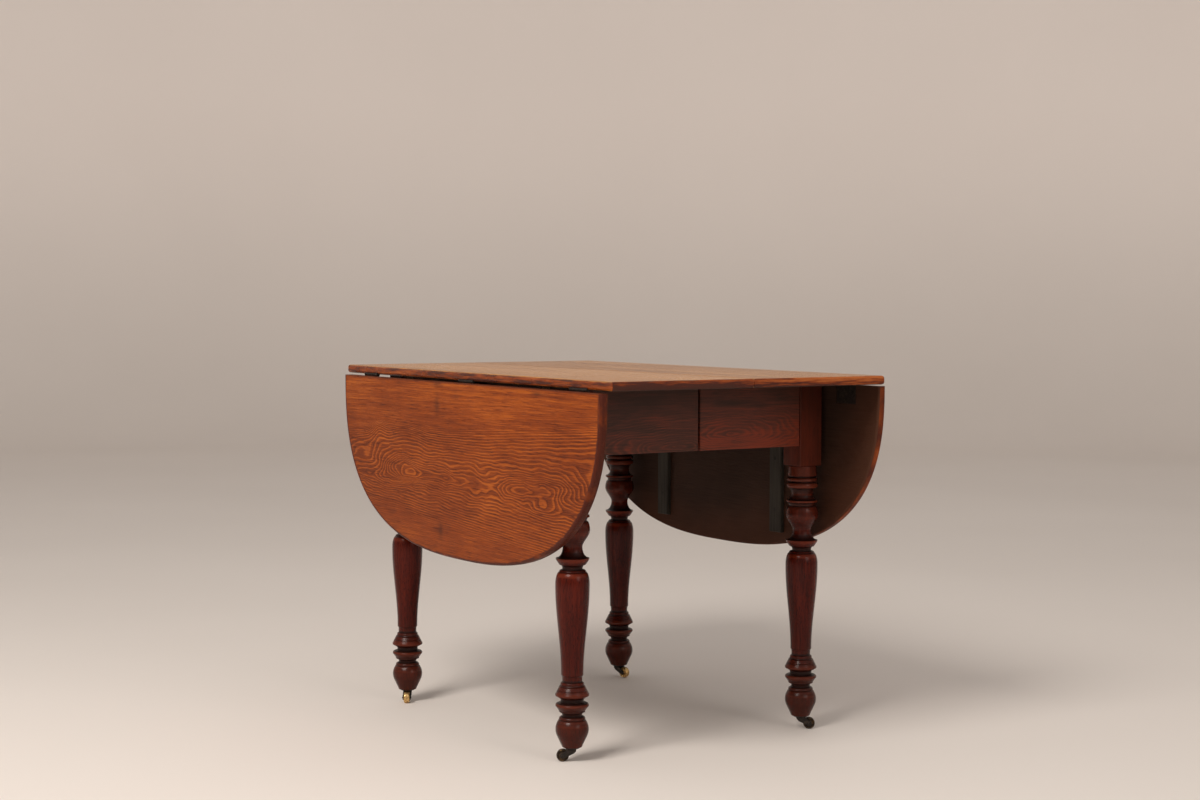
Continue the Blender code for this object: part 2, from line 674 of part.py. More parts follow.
def make_caster(label, side, row, half_body, looks):
    """Fork with its pintle, axle and wheel, trailing along +X of the swivel's own frame."""
    trail = math.radians(CASTER_TRAILS[label])
    name = "_".join(label)
    swivel = pivot(name + "_caster_swivel", half_body, (side * LEG_X, row * LEG_Y, 0), turn_z=trail)
    hub = pivot(name + "_caster_hub", swivel, (CASTER_TRAIL, 0, WHEEL_RADIUS))
    slot = WHEEL_WIDTH / 2 + RUN
    cheek = slot + FORK_CHEEK

    shape = bmesh.new()
    prism(shape, [(x, -cheek, z) for x, z in fork_outline()], (0, 2 * cheek, 0))
    fork = add(name + "_caster_fork", shape, looks["iron"], swivel)
    room = bmesh.new()
    rod(room, WHEEL_RADIUS + WHEEL_CLEARANCE, (CASTER_TRAIL, -slot, WHEEL_RADIUS),
        (CASTER_TRAIL, slot, WHEEL_RADIUS), WHEEL_SIDES)
    shape_by(fork, room, "DIFFERENCE")
    pintle = bmesh.new()
    top = CASTER_HEIGHT - FIT - SOCKET_PLATE - RUN
    rod(pintle, PINTLE_RADIUS, (0, 0, top - FORK_CROWN / 2), (0, 0, top + PINTLE_LENGTH))
    shape_by(fork, pintle, "UNION")
    eye = bmesh.new()
    rod(eye, AXLE_RADIUS + FIT, (CASTER_TRAIL, -2 * cheek, WHEEL_RADIUS),
        (CASTER_TRAIL, 2 * cheek, WHEEL_RADIUS))
    shape_by(fork, eye, "DIFFERENCE")

    axle = bmesh.new()
    reach = cheek + AXLE_OVERHANG
    rod(axle, AXLE_RADIUS, (CASTER_TRAIL, -reach, WHEEL_RADIUS), (CASTER_TRAIL, reach, WHEEL_RADIUS))
    add(name + "_caster_axle", axle, looks["iron"], swivel, smooth=True)

    bore = AXLE_RADIUS + RUN
    half = WHEEL_WIDTH / 2
    rim = WHEEL_RADIUS / math.cos(math.pi / WHEEL_SIDES)
    right = ((bore, half), (WHEEL_HUB, half), (WHEEL_HUB + WHEEL_DISH, half - WHEEL_DISH),
             (rim - WHEEL_CROWN - WHEEL_DISH, half), (rim - WHEEL_CROWN, half), (rim, half - 2 * WHEEL_CROWN))
    profile = [*right, *[(radius, -width) for radius, width in reversed(right)], right[0]]
    wheel = bmesh.new()
    on_edge = Matrix.Rotation(math.pi / 2, 4, "X")
    flat_down = Matrix.Rotation(math.pi / 2 + math.pi / WHEEL_SIDES, 4, "Z")
    turned(wheel, profile, WHEEL_SIDES, on_edge @ flat_down)
    add(name + "_caster_wheel", wheel, looks["brass"], hub, smooth=True)


def make_half(name, side, body, looks):
    """One half of the table: its top, frame, legs, casters, leaf supports, hinges and leaf."""
    make_top(name + "_top", body, looks["oak_top"], side)
    make_end_apron(name + "_end_apron", body, looks["apron_wood"], side)
    for row_name, row in ROWS.items():
        corner = f"{name}_{row_name}"
        make_side_apron(corner + "_apron", body, looks["apron_wood"], side, row)
        make_corner_block(corner + "_corner_block", body, looks["plain_wood"], side, row)
        make_leg(corner + "_leg", body, looks["mahogany"], side, row)
        make_socket(corner + "_caster_socket", body, looks["iron"], side, row)
        make_caster((name, row_name), side, row, body, looks)
        support = pivot(corner + "_loper_slide", body, (0, row * LOPER_Y, LOPER_TOP - LOPER_HEIGHT / 2))
        make_loper(corner + "_loper", support, looks["plain_wood"], side)

    hang = pivot(name + "_leaf_hinge", body, (side * HINGE_X, 0, HINGE_Z), turn_y=side * math.pi / 2)
    make_leaf(name + "_leaf", hang, looks["oak_top"], side)
    for row_name, row in ROWS.items():
        make_batten(f"{name}_{row_name}_batten", hang, looks["batten_wood"], side, row)
    on_top, on_leaf = knuckle_spans()
    for row_name, y in HINGES.items():
        hinge = f"{name}_{row_name}_hinge"
        make_hinge_plate(hinge + "_top_plate", body, looks["iron"], (on_top, on_leaf), -side,
                         HINGE_TOP_REACH, (side * HINGE_X, y, HINGE_Z), UNDERSIDE, pinned=True)
        make_hinge_plate(hinge + "_leaf_plate", hang, looks["iron"], (on_leaf, on_top), side,
                         HINGE_LEAF_REACH, (0.0, y, 0.0), HINGE_PIN_DROP)


def main():
    clear_scene()
    looks = make_looks()
    bodies = {"left_half": pivot("left_half")}
    bodies["slide_runners"] = pivot("runner_slide", bodies["left_half"])
    bodies["right_half"] = pivot("right_half", bodies["left_half"])
    for name, side in SIDES.items():
        make_half(name, side, bodies[name + "_half"], looks)
    make_slides(bodies, looks["plain_wood"])


main()
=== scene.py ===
"""Drop-leaf extension table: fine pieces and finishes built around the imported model."""
import math

import bmesh
import bpy
from mathutils import Matrix, Vector


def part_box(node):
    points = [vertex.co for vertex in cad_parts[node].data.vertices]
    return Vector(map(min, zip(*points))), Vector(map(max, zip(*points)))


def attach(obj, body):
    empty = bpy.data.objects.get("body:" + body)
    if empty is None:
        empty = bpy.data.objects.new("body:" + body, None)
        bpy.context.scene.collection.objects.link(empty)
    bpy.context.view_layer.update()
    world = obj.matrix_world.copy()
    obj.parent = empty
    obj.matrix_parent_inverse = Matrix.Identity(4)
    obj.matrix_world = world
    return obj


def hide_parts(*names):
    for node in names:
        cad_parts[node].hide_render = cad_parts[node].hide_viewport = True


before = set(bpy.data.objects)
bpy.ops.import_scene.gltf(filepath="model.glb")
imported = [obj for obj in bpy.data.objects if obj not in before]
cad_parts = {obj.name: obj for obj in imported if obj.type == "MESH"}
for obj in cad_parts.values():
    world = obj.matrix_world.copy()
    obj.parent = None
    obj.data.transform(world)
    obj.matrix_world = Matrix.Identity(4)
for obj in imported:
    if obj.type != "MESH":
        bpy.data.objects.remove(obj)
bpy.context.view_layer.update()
ORIGIN = (0.0, 0.0, 0.0)

# Camera
CAMERA_PLACE = (-2.333, -3.607, 0.892)
CAMERA_YAW = math.radians(-32.93)
CAMERA_TILT = math.radians(87.113)
CAMERA_ROLL = math.radians(0.18)
CAMERA_LENS = 60.61
CAMERA_SENSOR = 36.0

# Stage: a round floor, swept up into a wall in steps of some degrees, which glows up to a height
STAGE_RADIUS = 8.0
STAGE_SWEEP = 2.0
STAGE_SWEEP_STEP = 6
STAGE_WALL = 6.0
STAGE_STEPS = 96
GLOW_HEIGHT = 2.4
SKY_STRENGTH = 0.48

# Lamps: place, aim, size, power and tint
LAMPS = {
    "key": ((-3.5, -1.4, 3.7), (0.0, 0.0, 0.45), 2.0, 170.0, (1.0, 0.95, 0.89)),
    "front": ((0.6, -4.6, 2.0), (0.0, 0.0, 0.40), 1.8, 26.0, (1.0, 0.95, 0.90)),
}

# Top and leaves
TABLE_HEIGHT = 0.740
BOARD_THICKNESS = 0.018
UNDERSIDE = TABLE_HEIGHT - BOARD_THICKNESS
TOP_END = 0.324
TOP_EDGE = 0.545
EDGE_RADIUS = 0.0055
EDGE_STEPS = 5
EDGE_EASE = 0.0006
SEAM_HALF = 0.0005
LEAF_EDGE = 0.532
LEAF_DEPTH = 0.362
LEAF_FULLNESS = 2.62
LEAF_POINTS = 240
LEAF_INNER = 0.3215
LEAF_UPPER = 0.718

# Frame
POST_HALF = 0.028
POST_CHAMFER = 0.0016
POST_STEPS = 3
FRAME_TOP = 0.7217
POST_BOTTOM = 0.5487
LEG_X = 0.280
LEG_Y = 0.342
TENON_LENGTH = 0.0223
TENON_HALF = 0.0053
MORTISE_LOW = 0.6104
MORTISE_HIGH = 0.7020
MORTISE_OFFSET = 0.013

# Hinges
HINGE_X = 0.321
HINGE_Z = 0.7215
HINGE_LINE = (-HINGE_X, HINGE_Z)
HINGE_ROWS = {"front": -0.430, "middle": 0.0, "back": 0.430}
HINGE_HALF = 0.030
KNUCKLE_RADIUS = 0.0040
KNUCKLE_THIRD = 0.020
KNUCKLE_GAP = 0.0005
HINGE_PLATE = 0.0025
HINGE_PIN = 0.0018
HINGE_PIN_REACH = 0.031
HINGE_TOP_REACH = 0.034
HINGE_LEAF_REACH = 0.042

# Register pins at the seam
PIN_ROWS = (-0.320, 0.0, 0.320)
PIN_RADIUS = 0.004
PIN_REACH = 0.018

# Screws: radius of the head, and places from the hinge line or down from the leaf's upper edge
HINGE_SCREW = 0.0032
HINGE_TOP_SCREWS = ((0.013, -0.019), (0.013, 0.019), (0.026, 0.0))
HINGE_LEAF_SCREWS = ((0.016, -0.019), (0.016, 0.019), (0.032, 0.0))
BATTEN_SCREW = 0.0042
BATTEN_SCREWS = (0.055, 0.165, 0.275)
SCREW_PROUD = 0.0003
SCREW_DEPTH = 0.0016
SCREW_SIDES = 28
SCREW_SHARP = 20.0

# Shares of a screw head's radius or depth, and the way the slots lie in radians
SCREW_TAPER = 0.55
SCREW_EASE = 0.06
SLOT_HALF = 0.14
SLOT_DEPTH = 0.55
SLOT_START = 0.7
SLOT_STEP = 1.9

# Casters
CASTER_HEIGHT = 0.0275
WHEEL_RADIUS = 0.012
WHEEL_HALF = 0.006
WHEEL_STEPS = 56
WHEEL_SHARP = 40.0
CASTER_TRAIL = 0.018
WHEEL_LINE = (CASTER_TRAIL, WHEEL_RADIUS)
AXLE_RADIUS = 0.0020
AXLE_PROUD = 0.0010
PINTLE_RADIUS = 0.0040
PINTLE_TOP = 0.0572
SOCKET_BORE = 0.0045
SOCKET_WALL = 0.0061
SOCKET_TOP = 0.0635
SOCKET_FLANGE = 0.0145
SOCKET_PLATE = 0.0257
SOCKET_COLLAR = 0.0272
SOCKET_STEPS = 40
FORK_TOP = 0.0252
FORK_SLOT = 0.0065
FORK_CHEEK = 0.0090
FORK_BACK = 0.0080
FORK_CROWN = 0.0085
FORK_EYE = 0.0052
FORK_EYE_START = 100
FORK_EYE_END = -110
FORK_EYE_STEP = 15
WHEEL_ROOM = 0.0132

# Face of a wheel from its bore outwards: radius, and how far it lies in from the hub's end
WHEEL_FACE = (
    (0.0052, 0.0),
    (0.0056, 0.0004),
    (0.0060, 0.0016),
    (0.0072, 0.0020),
    (0.0086, 0.0014),
    (0.0094, 0.0004),
    (0.0104, 0.0),
    (0.0112, 0.0004),
    (WHEEL_RADIUS - 0.0003, 0.0012),
    (WHEEL_RADIUS, 0.0024),
)

# Clearances, and the distances within which points are made one
FIT = 0.0003
RUN = 0.0005
WELD = 0.000004
SPIN_MERGE = 0.000001
MERGE = 0.00001

# Edges: angles in degrees at which one counts as flat or sharp, and widths of rounded ones
FLAT = 1.0
SHARP = 32.0
LEG_SHARP = 38.0
EASE_STEPS = 2
BOARD_EASE = 0.0008
BLOCK_EASE = 0.0010
SLIDE_EASE = 0.0005
HINGE_EASE = 0.0004
SOCKET_EASE = 0.0003
FORK_EASE = 0.0007
AXLE_EASE = 0.0006
AXLE_EASE_STEPS = 3

# Sides of round bars
BAR_SIDES = 32
PIN_SIDES = 24
ROOM_SIDES = 48

# Corners of the frame: sides of the table, the turn that brings the left front leg there, and the
# turn of the caster from a trail along +X
CORNERS = {
    "left_front": (-1, -1, 0.0, 147.0),
    "right_front": (1, -1, 90.0, -33.0),
    "right_back": (1, 1, 180.0, -78.0),
    "left_back": (-1, 1, 270.0, -123.0),
}

# Sides of the table: the turn that brings a piece of the left side there
SIDES = {"left": 0.0, "right": 180.0}

# Turning of the leg from the post down: curve, drop and radius at its lower end.
# The vase takes the drop that is left over.
LEG_TOP_RADIUS = 0.0272
LEG_TURNING = (
    ("radial", 0.0030, 0.0292),
    ("straight", 0.0170, 0.0300),
    ("axial", 0.0016, 0.0284),
    ("straight", 0.0009, 0.0266),
    ("straight", 0.0015, 0.0264),
    ("radial", 0.0045, 0.0318),
    ("axial", 0.0042, 0.0284),
    ("straight", 0.0006, 0.0268),
    ("straight", 0.0007, 0.0270),
    ("radial", 0.0065, 0.0325),
    ("axial", 0.0060, 0.0282),
    ("straight", 0.0005, 0.0262),
    ("radial", 0.0125, 0.0225),
    ("axial", 0.0120, 0.0314),
    ("straight", 0.0005, 0.0325),
    ("straight", 0.0035, 0.0325),
    ("radial", 0.0075, 0.0272),
    ("radial", 0.0180, 0.0335),
    ("ogee", 0.0330, 0.0190),
    ("axial", 0.0205, 0.0325),
    ("straight", 0.0030, 0.0322),
    ("straight", 0.0093, 0.0258),
    ("straight", 0.0008, 0.0246),
    ("radial", 0.0064, 0.0195),
    ("straight", 0.0025, 0.0195),
    ("radial", 0.0035, 0.0258),
    ("straight", 0.0006, 0.0250),
    ("radial", 0.0249, 0.0332),
    ("ogee", None, 0.0215),
    ("radial", 0.0080, 0.0193),
    ("straight", 0.0055, 0.0192),
    ("radial", 0.0030, 0.0226),
    ("axial", 0.0050, 0.0251),
    ("straight", 0.0006, 0.0238),
    ("radial", 0.0012, 0.0258),
    ("straight", 0.0057, 0.0287),
    ("straight", 0.0006, 0.0277),
    ("radial", 0.0010, 0.0296),
    ("straight", 0.0054, 0.0320),
    ("radial", 0.0010, 0.0328),
    ("straight", 0.0022, 0.0328),
    ("axial", 0.0014, 0.0312),
    ("straight", 0.0054, 0.0225),
    ("straight", 0.0070, 0.0220),
    ("radial", 0.0045, 0.0324),
    ("straight", 0.0018, 0.0324),
    ("axial", 0.0012, 0.0314),
    ("straight", 0.0068, 0.0268),
    ("straight", 0.0006, 0.0258),
    ("axial", 0.0036, 0.0248),
    ("radial", 0.0065, 0.0190),
    ("straight", 0.0015, 0.0190),
    ("radial", 0.0050, 0.0256),
    ("axial", 0.0015, 0.0252),
    ("straight", 0.0005, 0.0246),
    ("straight", 0.0005, 0.0262),
    ("ball", 0.0180, 0.0322),
    ("ball", 0.0130, 0.0292),
    ("straight", 0.0190, 0.0202),
    ("axial", 0.0035, 0.0165),
)
CURVE_STEPS = {"straight": 1, "radial": 6, "axial": 6, "ogee": 18, "ball": 10}
LEG_STEPS = 60

# Dirt, wear, painted shade and painted highlight of a turning: how far round a point radii are compared,
# and the difference that counts in full
CREVICE_REACH = 0.0030
CREVICE_DEPTH = 0.0034
NECK_REACH = 0.0110
NECK_DEPTH = 0.0095
NECK_DIRT_AND_SHADE = 0.65
CREST_HEIGHT = 0.0040


# Modelling

def deselect():
    bpy.ops.object.select_all(action="DESELECT")


def discard(*pieces):
    """Delete models that have been copied and tools that have done their work."""
    for piece in pieces:
        bpy.data.objects.remove(piece, do_unlink=True)


def only(piece):
    """Select one piece and make it active."""
    deselect()
    piece.select_set(True)
    bpy.context.view_layer.objects.active = piece


def open_mesh(piece):
    """Open a piece in edit mode with all of it selected."""
    only(piece)
    bpy.ops.object.mode_set(mode="EDIT")
    bpy.ops.mesh.select_mode(type="VERT")
    bpy.ops.mesh.select_all(action="SELECT")


def close_mesh():
    bpy.ops.object.mode_set(mode="OBJECT")


def close_solid():
    """Turn all faces of the open mesh outwards and leave edit mode."""
    bpy.ops.mesh.select_all(action="SELECT")
    bpy.ops.mesh.normals_make_consistent(inside=False)
    close_mesh()


def extrude(along):
    """Extrude what is selected in the open mesh."""
    bpy.ops.mesh.extrude_region_move(TRANSFORM_OT_translate={"value": along})


def modify(piece, kind, **settings):
    """Add a modifier to a piece, set it and apply it."""
    only(piece)
    step = piece.modifiers.new(kind.lower(), kind)
    for key, value in settings.items():
        setattr(step, key, value)
    bpy.ops.object.modifier_apply(modifier=step.name)


def named(name):
    """The object that an operator has just added, under a name and with its place in its mesh."""
    piece = bpy.context.object
    piece.name = name
    piece.data.name = name
    bpy.ops.object.transform_apply(location=True, rotation=True, scale=True)
    return piece


def block(name, low, high):
    """A box between two corners, to be shaped further."""
    deselect()
    low, high = Vector(low), Vector(high)
    bpy.ops.mesh.primitive_cube_add(size=1, location=(low + high) / 2, scale=high - low)
    return named(name)


def bar(name, radius, start, end, sides=BAR_SIDES):
    """A round bar between two points."""
    deselect()
    start, end = Vector(start), Vector(end)
    turn = (end - start).to_track_quat("Z", "Y").to_euler()
    bpy.ops.mesh.primitive_cylinder_add(vertices=sides, radius=radius, depth=(end - start).length,
                                        location=(start + end) / 2, rotation=turn)
    return named(name)


def cross_bar(name, radius, axis, low, high, sides=BAR_SIDES):
    """A round bar along Y, with its axis at a place in (x, z)."""
    x, z = axis
    return bar(name, radius, (x, low, z), (x, high, z), sides)


def drawn(name, points):
    """A line drawn point by point with the extrude tool, left open in edit mode."""
    deselect()
    bpy.ops.mesh.primitive_plane_add(size=1)
    piece = named(name)
    open_mesh(piece)
    bpy.ops.mesh.merge(type="CENTER")
    bpy.ops.transform.translate(value=points[0])
    for last, point in zip(points, points[1:]):
        extrude(Vector(point) - Vector(last))
    bpy.ops.mesh.select_all(action="SELECT")
    return piece


def turned(name, profile, steps, axis=(0, 0, 1)):
    """A profile spun about an axis through the origin. Its points are (radius, height)."""
    axis = Vector(axis)
    across = Vector((1, 0, 0))
    piece = drawn(name, [across * radius + axis * height for radius, height in profile])
    bpy.ops.mesh.spin(steps=steps, angle=math.tau, center=ORIGIN, axis=axis)
    bpy.ops.mesh.select_all(action="SELECT")
    bpy.ops.mesh.remove_doubles(threshold=SPIN_MERGE)
    close_solid()
    return piece


def cut_from_outline(name, outline, along):
    """A flat outline filled and extruded along a vector."""
    piece = drawn(name, outline)
    bpy.ops.mesh.edge_face_add()
    extrude(along)
    close_solid()
    return piece


def pick_edges(test):
    """Select the edges of the open mesh whose two ends pass a test."""
    bpy.ops.mesh.select_mode(type="EDGE")
    bpy.ops.mesh.select_all(action="DESELECT")
    mesh = bmesh.from_edit_mesh(bpy.context.object.data)
    for edge in mesh.edges:
        edge.select_set(test(*(vert.co for vert in edge.verts)))
    bmesh.update_edit_mesh(bpy.context.object.data)


def round_edges(piece, test, width, steps):
    """Bevel the edges that pass a test."""
    open_mesh(piece)
    pick_edges(test)
    bpy.ops.mesh.bevel(offset=width, segments=steps, profile=0.5, affect="EDGES", clamp_overlap=True)
    close_mesh()


def joined(pieces):
    """Several pieces made one object."""
    deselect()
    for piece in pieces:
        piece.select_set(True)
    bpy.context.view_layer.objects.active = pieces[0]
    bpy.ops.object.join()
    return pieces[0]


def combine(piece, tool, operation):
    """Join a tool shape to a piece, or cut it away."""
    modify(piece, "BOOLEAN", operation=operation, solver="EXACT", object=tool)
    discard(tool)


def ease(piece, width, steps=EASE_STEPS, angle=SHARP):
    """Round every edge that is sharper than an angle."""
    modify(piece, "BEVEL", width=width, segments=steps, limit_method="ANGLE",
           angle_limit=math.radians(angle), use_clamp_overlap=True)


def smooth(piece, angle=SHARP):
    """Weld the slivers that cuts and bevels leave, and shade smooth while flat faces stay flat."""
    open_mesh(piece)
    bpy.ops.mesh.remove_doubles(threshold=WELD)
    bpy.ops.mesh.dissolve_degenerate(threshold=WELD)
    bpy.ops.mesh.vert_connect_concave()
    close_mesh()
    bpy.ops.object.shade_smooth_by_angle(angle=math.radians(angle))
    modify(piece, "WEIGHTED_NORMAL", keep_sharp=True)


def copy_of(piece, name, turn=0.0, shift=ORIGIN):
    """A copy with a mesh of its own, turned about the Z axis in degrees and then shifted."""
    only(piece)
    bpy.ops.object.duplicate()
    twin = bpy.context.object
    twin.rotation_euler.z = math.radians(turn)
    twin.location = shift
    return named(name)


def eased_copy(node, name, width):
    """A copy of a CAD piece with its flat faces whole and its edges rounded."""
    piece = bpy.data.objects.new(name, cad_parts[node].data.copy())
    bpy.context.scene.collection.objects.link(piece)
    piece.data.name = name
    open_mesh(piece)
    bpy.ops.mesh.remove_doubles(threshold=MERGE)
    bpy.ops.mesh.dissolve_limited(angle_limit=math.radians(FLAT))
    close_mesh()
    ease(piece, width)
    smooth(piece)
    return piece


def dress(piece, look, body, slot, *nodes):
    """Give a piece its finish and its body, and hide the CAD nodes that it stands for."""
    piece.data.materials.clear()
    piece.data.materials.append(look.material)
    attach(piece, body)
    if nodes:
        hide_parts(*nodes)


# Finishes

def operator(operation):
    """An operator of a wire and its reflected form, each of which adds a Math node."""
    def straight(wire, other):
        return wire.look.math(operation, wire, other)

    def reflected(wire, other):
        return wire.look.math(operation, other, wire)

    return straight, reflected


class Wire:
    """A node's output that can be used in sums."""
    __add__, __radd__ = operator("ADD")
    __sub__, __rsub__ = operator("SUBTRACT")
    __mul__, __rmul__ = operator("MULTIPLY")
    __truediv__, __rtruediv__ = operator("DIVIDE")
    __pow__, __rpow__ = operator("POWER")

    def __init__(self, look, socket):
        self.look = look
        self.socket = socket

    def __abs__(self):
        return self.look.math("ABSOLUTE", self)


class Look:
    """A procedural finish on a Principled shader. Its seed moves all noise."""

    def __init__(self, name, seed=ORIGIN):
        self.seed = seed
        self.material = bpy.data.materials.new(name)
        self.material.use_nodes = True
        self.tree = self.material.node_tree
        self.shader = self.tree.nodes["Principled BSDF"]
        self.place = self.node("ShaderNodeTexCoord", output="Object")

    def node(self, kind, settings=None, sockets=None, output=0):
        """Any node: its settings are set first, then the values or links of its sockets."""
        made = self.tree.nodes.new(kind)
        for key, value in (settings or {}).items():
            if key == "stops":
                self.set_stops(made.color_ramp, value)
            else:
                setattr(made, key, value)
        for key, value in (sockets or {}).items():
            self.feed(made.inputs[key], value)
        return Wire(self, made.outputs[output])

    @staticmethod
    def set_stops(ramp, stops):
        while len(ramp.elements) < len(stops):
            ramp.elements.new(1.0)
        for element, (position, value) in zip(ramp.elements, stops):
            element.position = position
            element.color = value if isinstance(value, tuple) else (value, value, value, 1.0)

    def feed(self, socket, value):
        if isinstance(value, Wire):
            self.tree.links.new(value.socket, socket)
        else:
            socket.default_value = value

    def math(self, operation, *values):
        return self.node("ShaderNodeMath", {"operation": operation}, dict(enumerate(values)))

    def axes(self):
        """The three object coordinates."""
        return [self.node("ShaderNodeSeparateXYZ", None, {0: self.place}, output=axis)
                for axis in range(3)]

    def step(self, value, start, end):
        """0 below start, 1 above end and smooth between them."""
        return self.node("ShaderNodeMapRange", {"interpolation_type": "SMOOTHSTEP"},
                         {"Value": value, "From Min": start, "From Max": end})

    def noise(self, stretch, detail, roughness, shift=None):
        """Noise from about -0.5 to 0.5, with a number of waves per metre along each axis."""
        place = self.node("ShaderNodeMapping", None,
                          {"Vector": self.place, "Scale": stretch, "Location": shift or self.seed})
        wave = {"Vector": place, "Scale": 1.0, "Detail": detail, "Roughness": roughness}
        return self.node("ShaderNodeTexNoise", None, wave) - 0.5

    def stored(self, name):
        """A value kept in the mesh."""
        return self.node("ShaderNodeAttribute", {"attribute_name": name}, output="Fac")

    def ramp(self, value, *stops):
        """A value looked up between stops, each a position with a colour or a level."""
        return self.node("ShaderNodeValToRGB", {"stops": stops}, {"Fac": value})

    def mix(self, share, first, second):
        """Two colours mixed by a share. The node's colour sockets are 6 and 7, its colour output 2."""
        return self.node("ShaderNodeMix", {"data_type": "RGBA"},
                         {0: share, 6: first, 7: second}, output=2)

    def band(self, value, half):
        """A soft band, 1 where the value is 0."""
        return self.math("EXPONENT", (value / half) ** 2.0 * -1.0)

    def spot(self, across, along, centre, size):
        """A soft round patch, 1 at its centre."""
        far = ((across - centre[0]) / size[0]) ** 2.0 + ((along - centre[1]) / size[1]) ** 2.0
        return self.math("EXPONENT", far * -1.0)

    def finish(self, surface, roughness, height=None, depth=0.0, **constants):
        """Link the colour, roughness and bump to the shader and set its constants."""
        self.feed(self.shader.inputs["Base Color"], surface)
        self.feed(self.shader.inputs["Roughness"], roughness)
        if height is not None:
            bump = {"Height": height, "Distance": depth, "Strength": BUMP_STRENGTH}
            self.feed(self.shader.inputs["Normal"], self.node("ShaderNodeBump", None, bump))
        for key, value in constants.items():
            self.feed(self.shader.inputs[key.replace("_", " ")], value)
        return self


def colour(red, green, blue):
    """A linear colour without transparency."""
    return red, green, blue, 1.0


# Colours of the finishes
OAK_BODY = colour(0.230, 0.0410, 0.0034)
OAK_RIM = colour(0.066, 0.0108, 0.0038)
OAK_WORN = colour(0.400, 0.1050, 0.0200)
OAK_UNDER = colour(0.058, 0.0260, 0.0150)
OAK_UNDER_DARK = colour(0.020, 0.0095, 0.0065)
OAK_HANDLED = colour(0.088, 0.0300, 0.0140)
STAIN = colour(0.055, 0.013, 0.006)
MAHOGANY_RUBBED_AND_HIGHLIGHT = colour(0.165, 0.0240, 0.0080)
MAHOGANY_DUST_AND_SHEEN = colour(0.048, 0.0165, 0.0100)
MAHOGANY_FADED_AND_SHEEN = colour(0.120, 0.0400, 0.0240)
MAHOGANY_PAINTED_SHADOW = colour(0.022, 0.0075, 0.0050)
GRIME_AND_SHADE = colour(0.010, 0.0038, 0.0030)
DUSTY_WOOD = colour(0.30, 0.205, 0.120), colour(0.130, 0.078, 0.042)
GREY_WOOD = colour(0.049, 0.041, 0.030), colour(0.020, 0.0160, 0.0120)
STAGE_LIGHT = colour(0.840, 0.775, 0.725)
STAGE_DARK = colour(0.800, 0.735, 0.685)
STAGE_GLOW = colour(0.150, 0.128, 0.116)
NO_GLOW = colour(0, 0, 0)
SKY = colour(1.0, 0.96, 0.92)

# Woods from dark to light: position on a scale of shade, and colour
OAK = (
    (0.05, colour(0.100, 0.0165, 0.0024)),
    (0.5, OAK_BODY),
    (0.95, colour(0.430, 0.1010, 0.0086)),
)
TOP_OAK = (
    (0.05, colour(0.192, 0.0620, 0.0080)),
    (0.5, colour(0.412, 0.1560, 0.0170)),
    (0.95, colour(0.575, 0.2400, 0.0360)),
)
MAHOGANY = (
    (0.1, colour(0.020, 0.0026, 0.0013)),
    (0.5, colour(0.058, 0.0050, 0.0018)),
    (0.9, colour(0.110, 0.0105, 0.0032)),
)
VENEER = (
    (0.1, colour(0.036, 0.0124, 0.0066)),
    (0.5, colour(0.088, 0.0192, 0.0088)),
    (0.9, colour(0.196, 0.0272, 0.0084)),
)

# Metals: name, bare and dull colours, how much smoother the bare metal is, and the noise where it starts
METALS = {
    "iron": ("black_iron", colour(0.070, 0.054, 0.043), colour(0.022, 0.016, 0.013), 0.20, 0.10),
    "screw": ("screw_steel", colour(0.062, 0.052, 0.044), colour(0.016, 0.013, 0.011), 0.15, 0.10),
    "brass": ("tarnished_brass", colour(0.150, 0.088, 0.042), colour(0.030, 0.019, 0.012), 0.24, 0.10),
    "bright_brass": ("worn_brass", colour(0.720, 0.480, 0.200), colour(0.240, 0.130, 0.050), 0.36, -0.06),
}

# Wood grain: depth of colour through one growth ring of oak, and the heart that the rings lie round
BUMP_STRENGTH = 0.6
RING_STOPS = ((0.0, 0.0), (0.12, 0.30), (0.42, 0.40), (0.60, 1.0), (0.84, 0.88), (0.94, 0.05),
              (1.0, 0.0))
HEART_HALF = 0.29
HEART_END = 0.20
HEART_WIDTH = 0.0126


def oak_rings(look, along, across, heart, eyes, bumps):
    """Growth rings of a plain-sawn board: long, with round ends, counted from the heart outwards."""
    bend = look.noise((0.0, 5.0, 9.0), 2.0, 0.5)
    ripple = look.noise((0.0, 20.0, 26.0), 1.0, 0.5)
    eddy = look.noise((0.0, 9.0, 20.0), 1.0, 0.5)
    rise = across - heart[1]
    near = look.band(rise, 0.050)
    above = look.step(rise, 0.02, 0.12)
    below = look.step(rise, 0.0, -0.04)
    shift = bend * (near * 0.014 + 0.009) + ripple * (near * 0.013 + 0.002)
    for centre, size, lift in bumps:
        shift = shift - look.spot(along, across, centre, size) * lift
    rise = rise + shift - (below - above) * 0.06 * along
    end = look.math("MAXIMUM", abs(along - heart[0]) - HEART_HALF, 0.0)
    end = (1.0 - look.math("EXPONENT", end / -HEART_END)) * HEART_END * (0.46 - (above + below) * 0.42)
    far = look.math("SQRT", rise * rise + end * end + HEART_WIDTH ** 2) - HEART_WIDTH
    far = far + eddy * near * 0.045
    for centre, size, depth in eyes:
        far = far - look.spot(along, rise + heart[1], centre, size) * depth
    return far * 150.0 + far ** 3.0 * 3200.0, far


def early_pores(look, ring):
    """Open pores of oak: short dark dashes along the board, thickest where a ring begins."""
    dashes = look.noise((1250.0, 40.0, 1250.0), 2.0, 0.6)
    return look.step(dashes, 0.03, 0.13) * (1.0 - ring * 0.75)


def raw_oak(look, cloud, fibre):
    """Unfinished oak of an inner face."""
    shade = cloud * 0.9 + fibre * 0.8 + 0.5
    return look.ramp(shade, (0.1, OAK_UNDER_DARK), (0.9, OAK_UNDER))


def worn_edge(look, wear, *levels):
    """Stained edge of a board: four colours that follow each other at some levels of wear."""
    return look.ramp(wear, *zip(levels, (STAIN, OAK_RIM, OAK_BODY, OAK_WORN)))


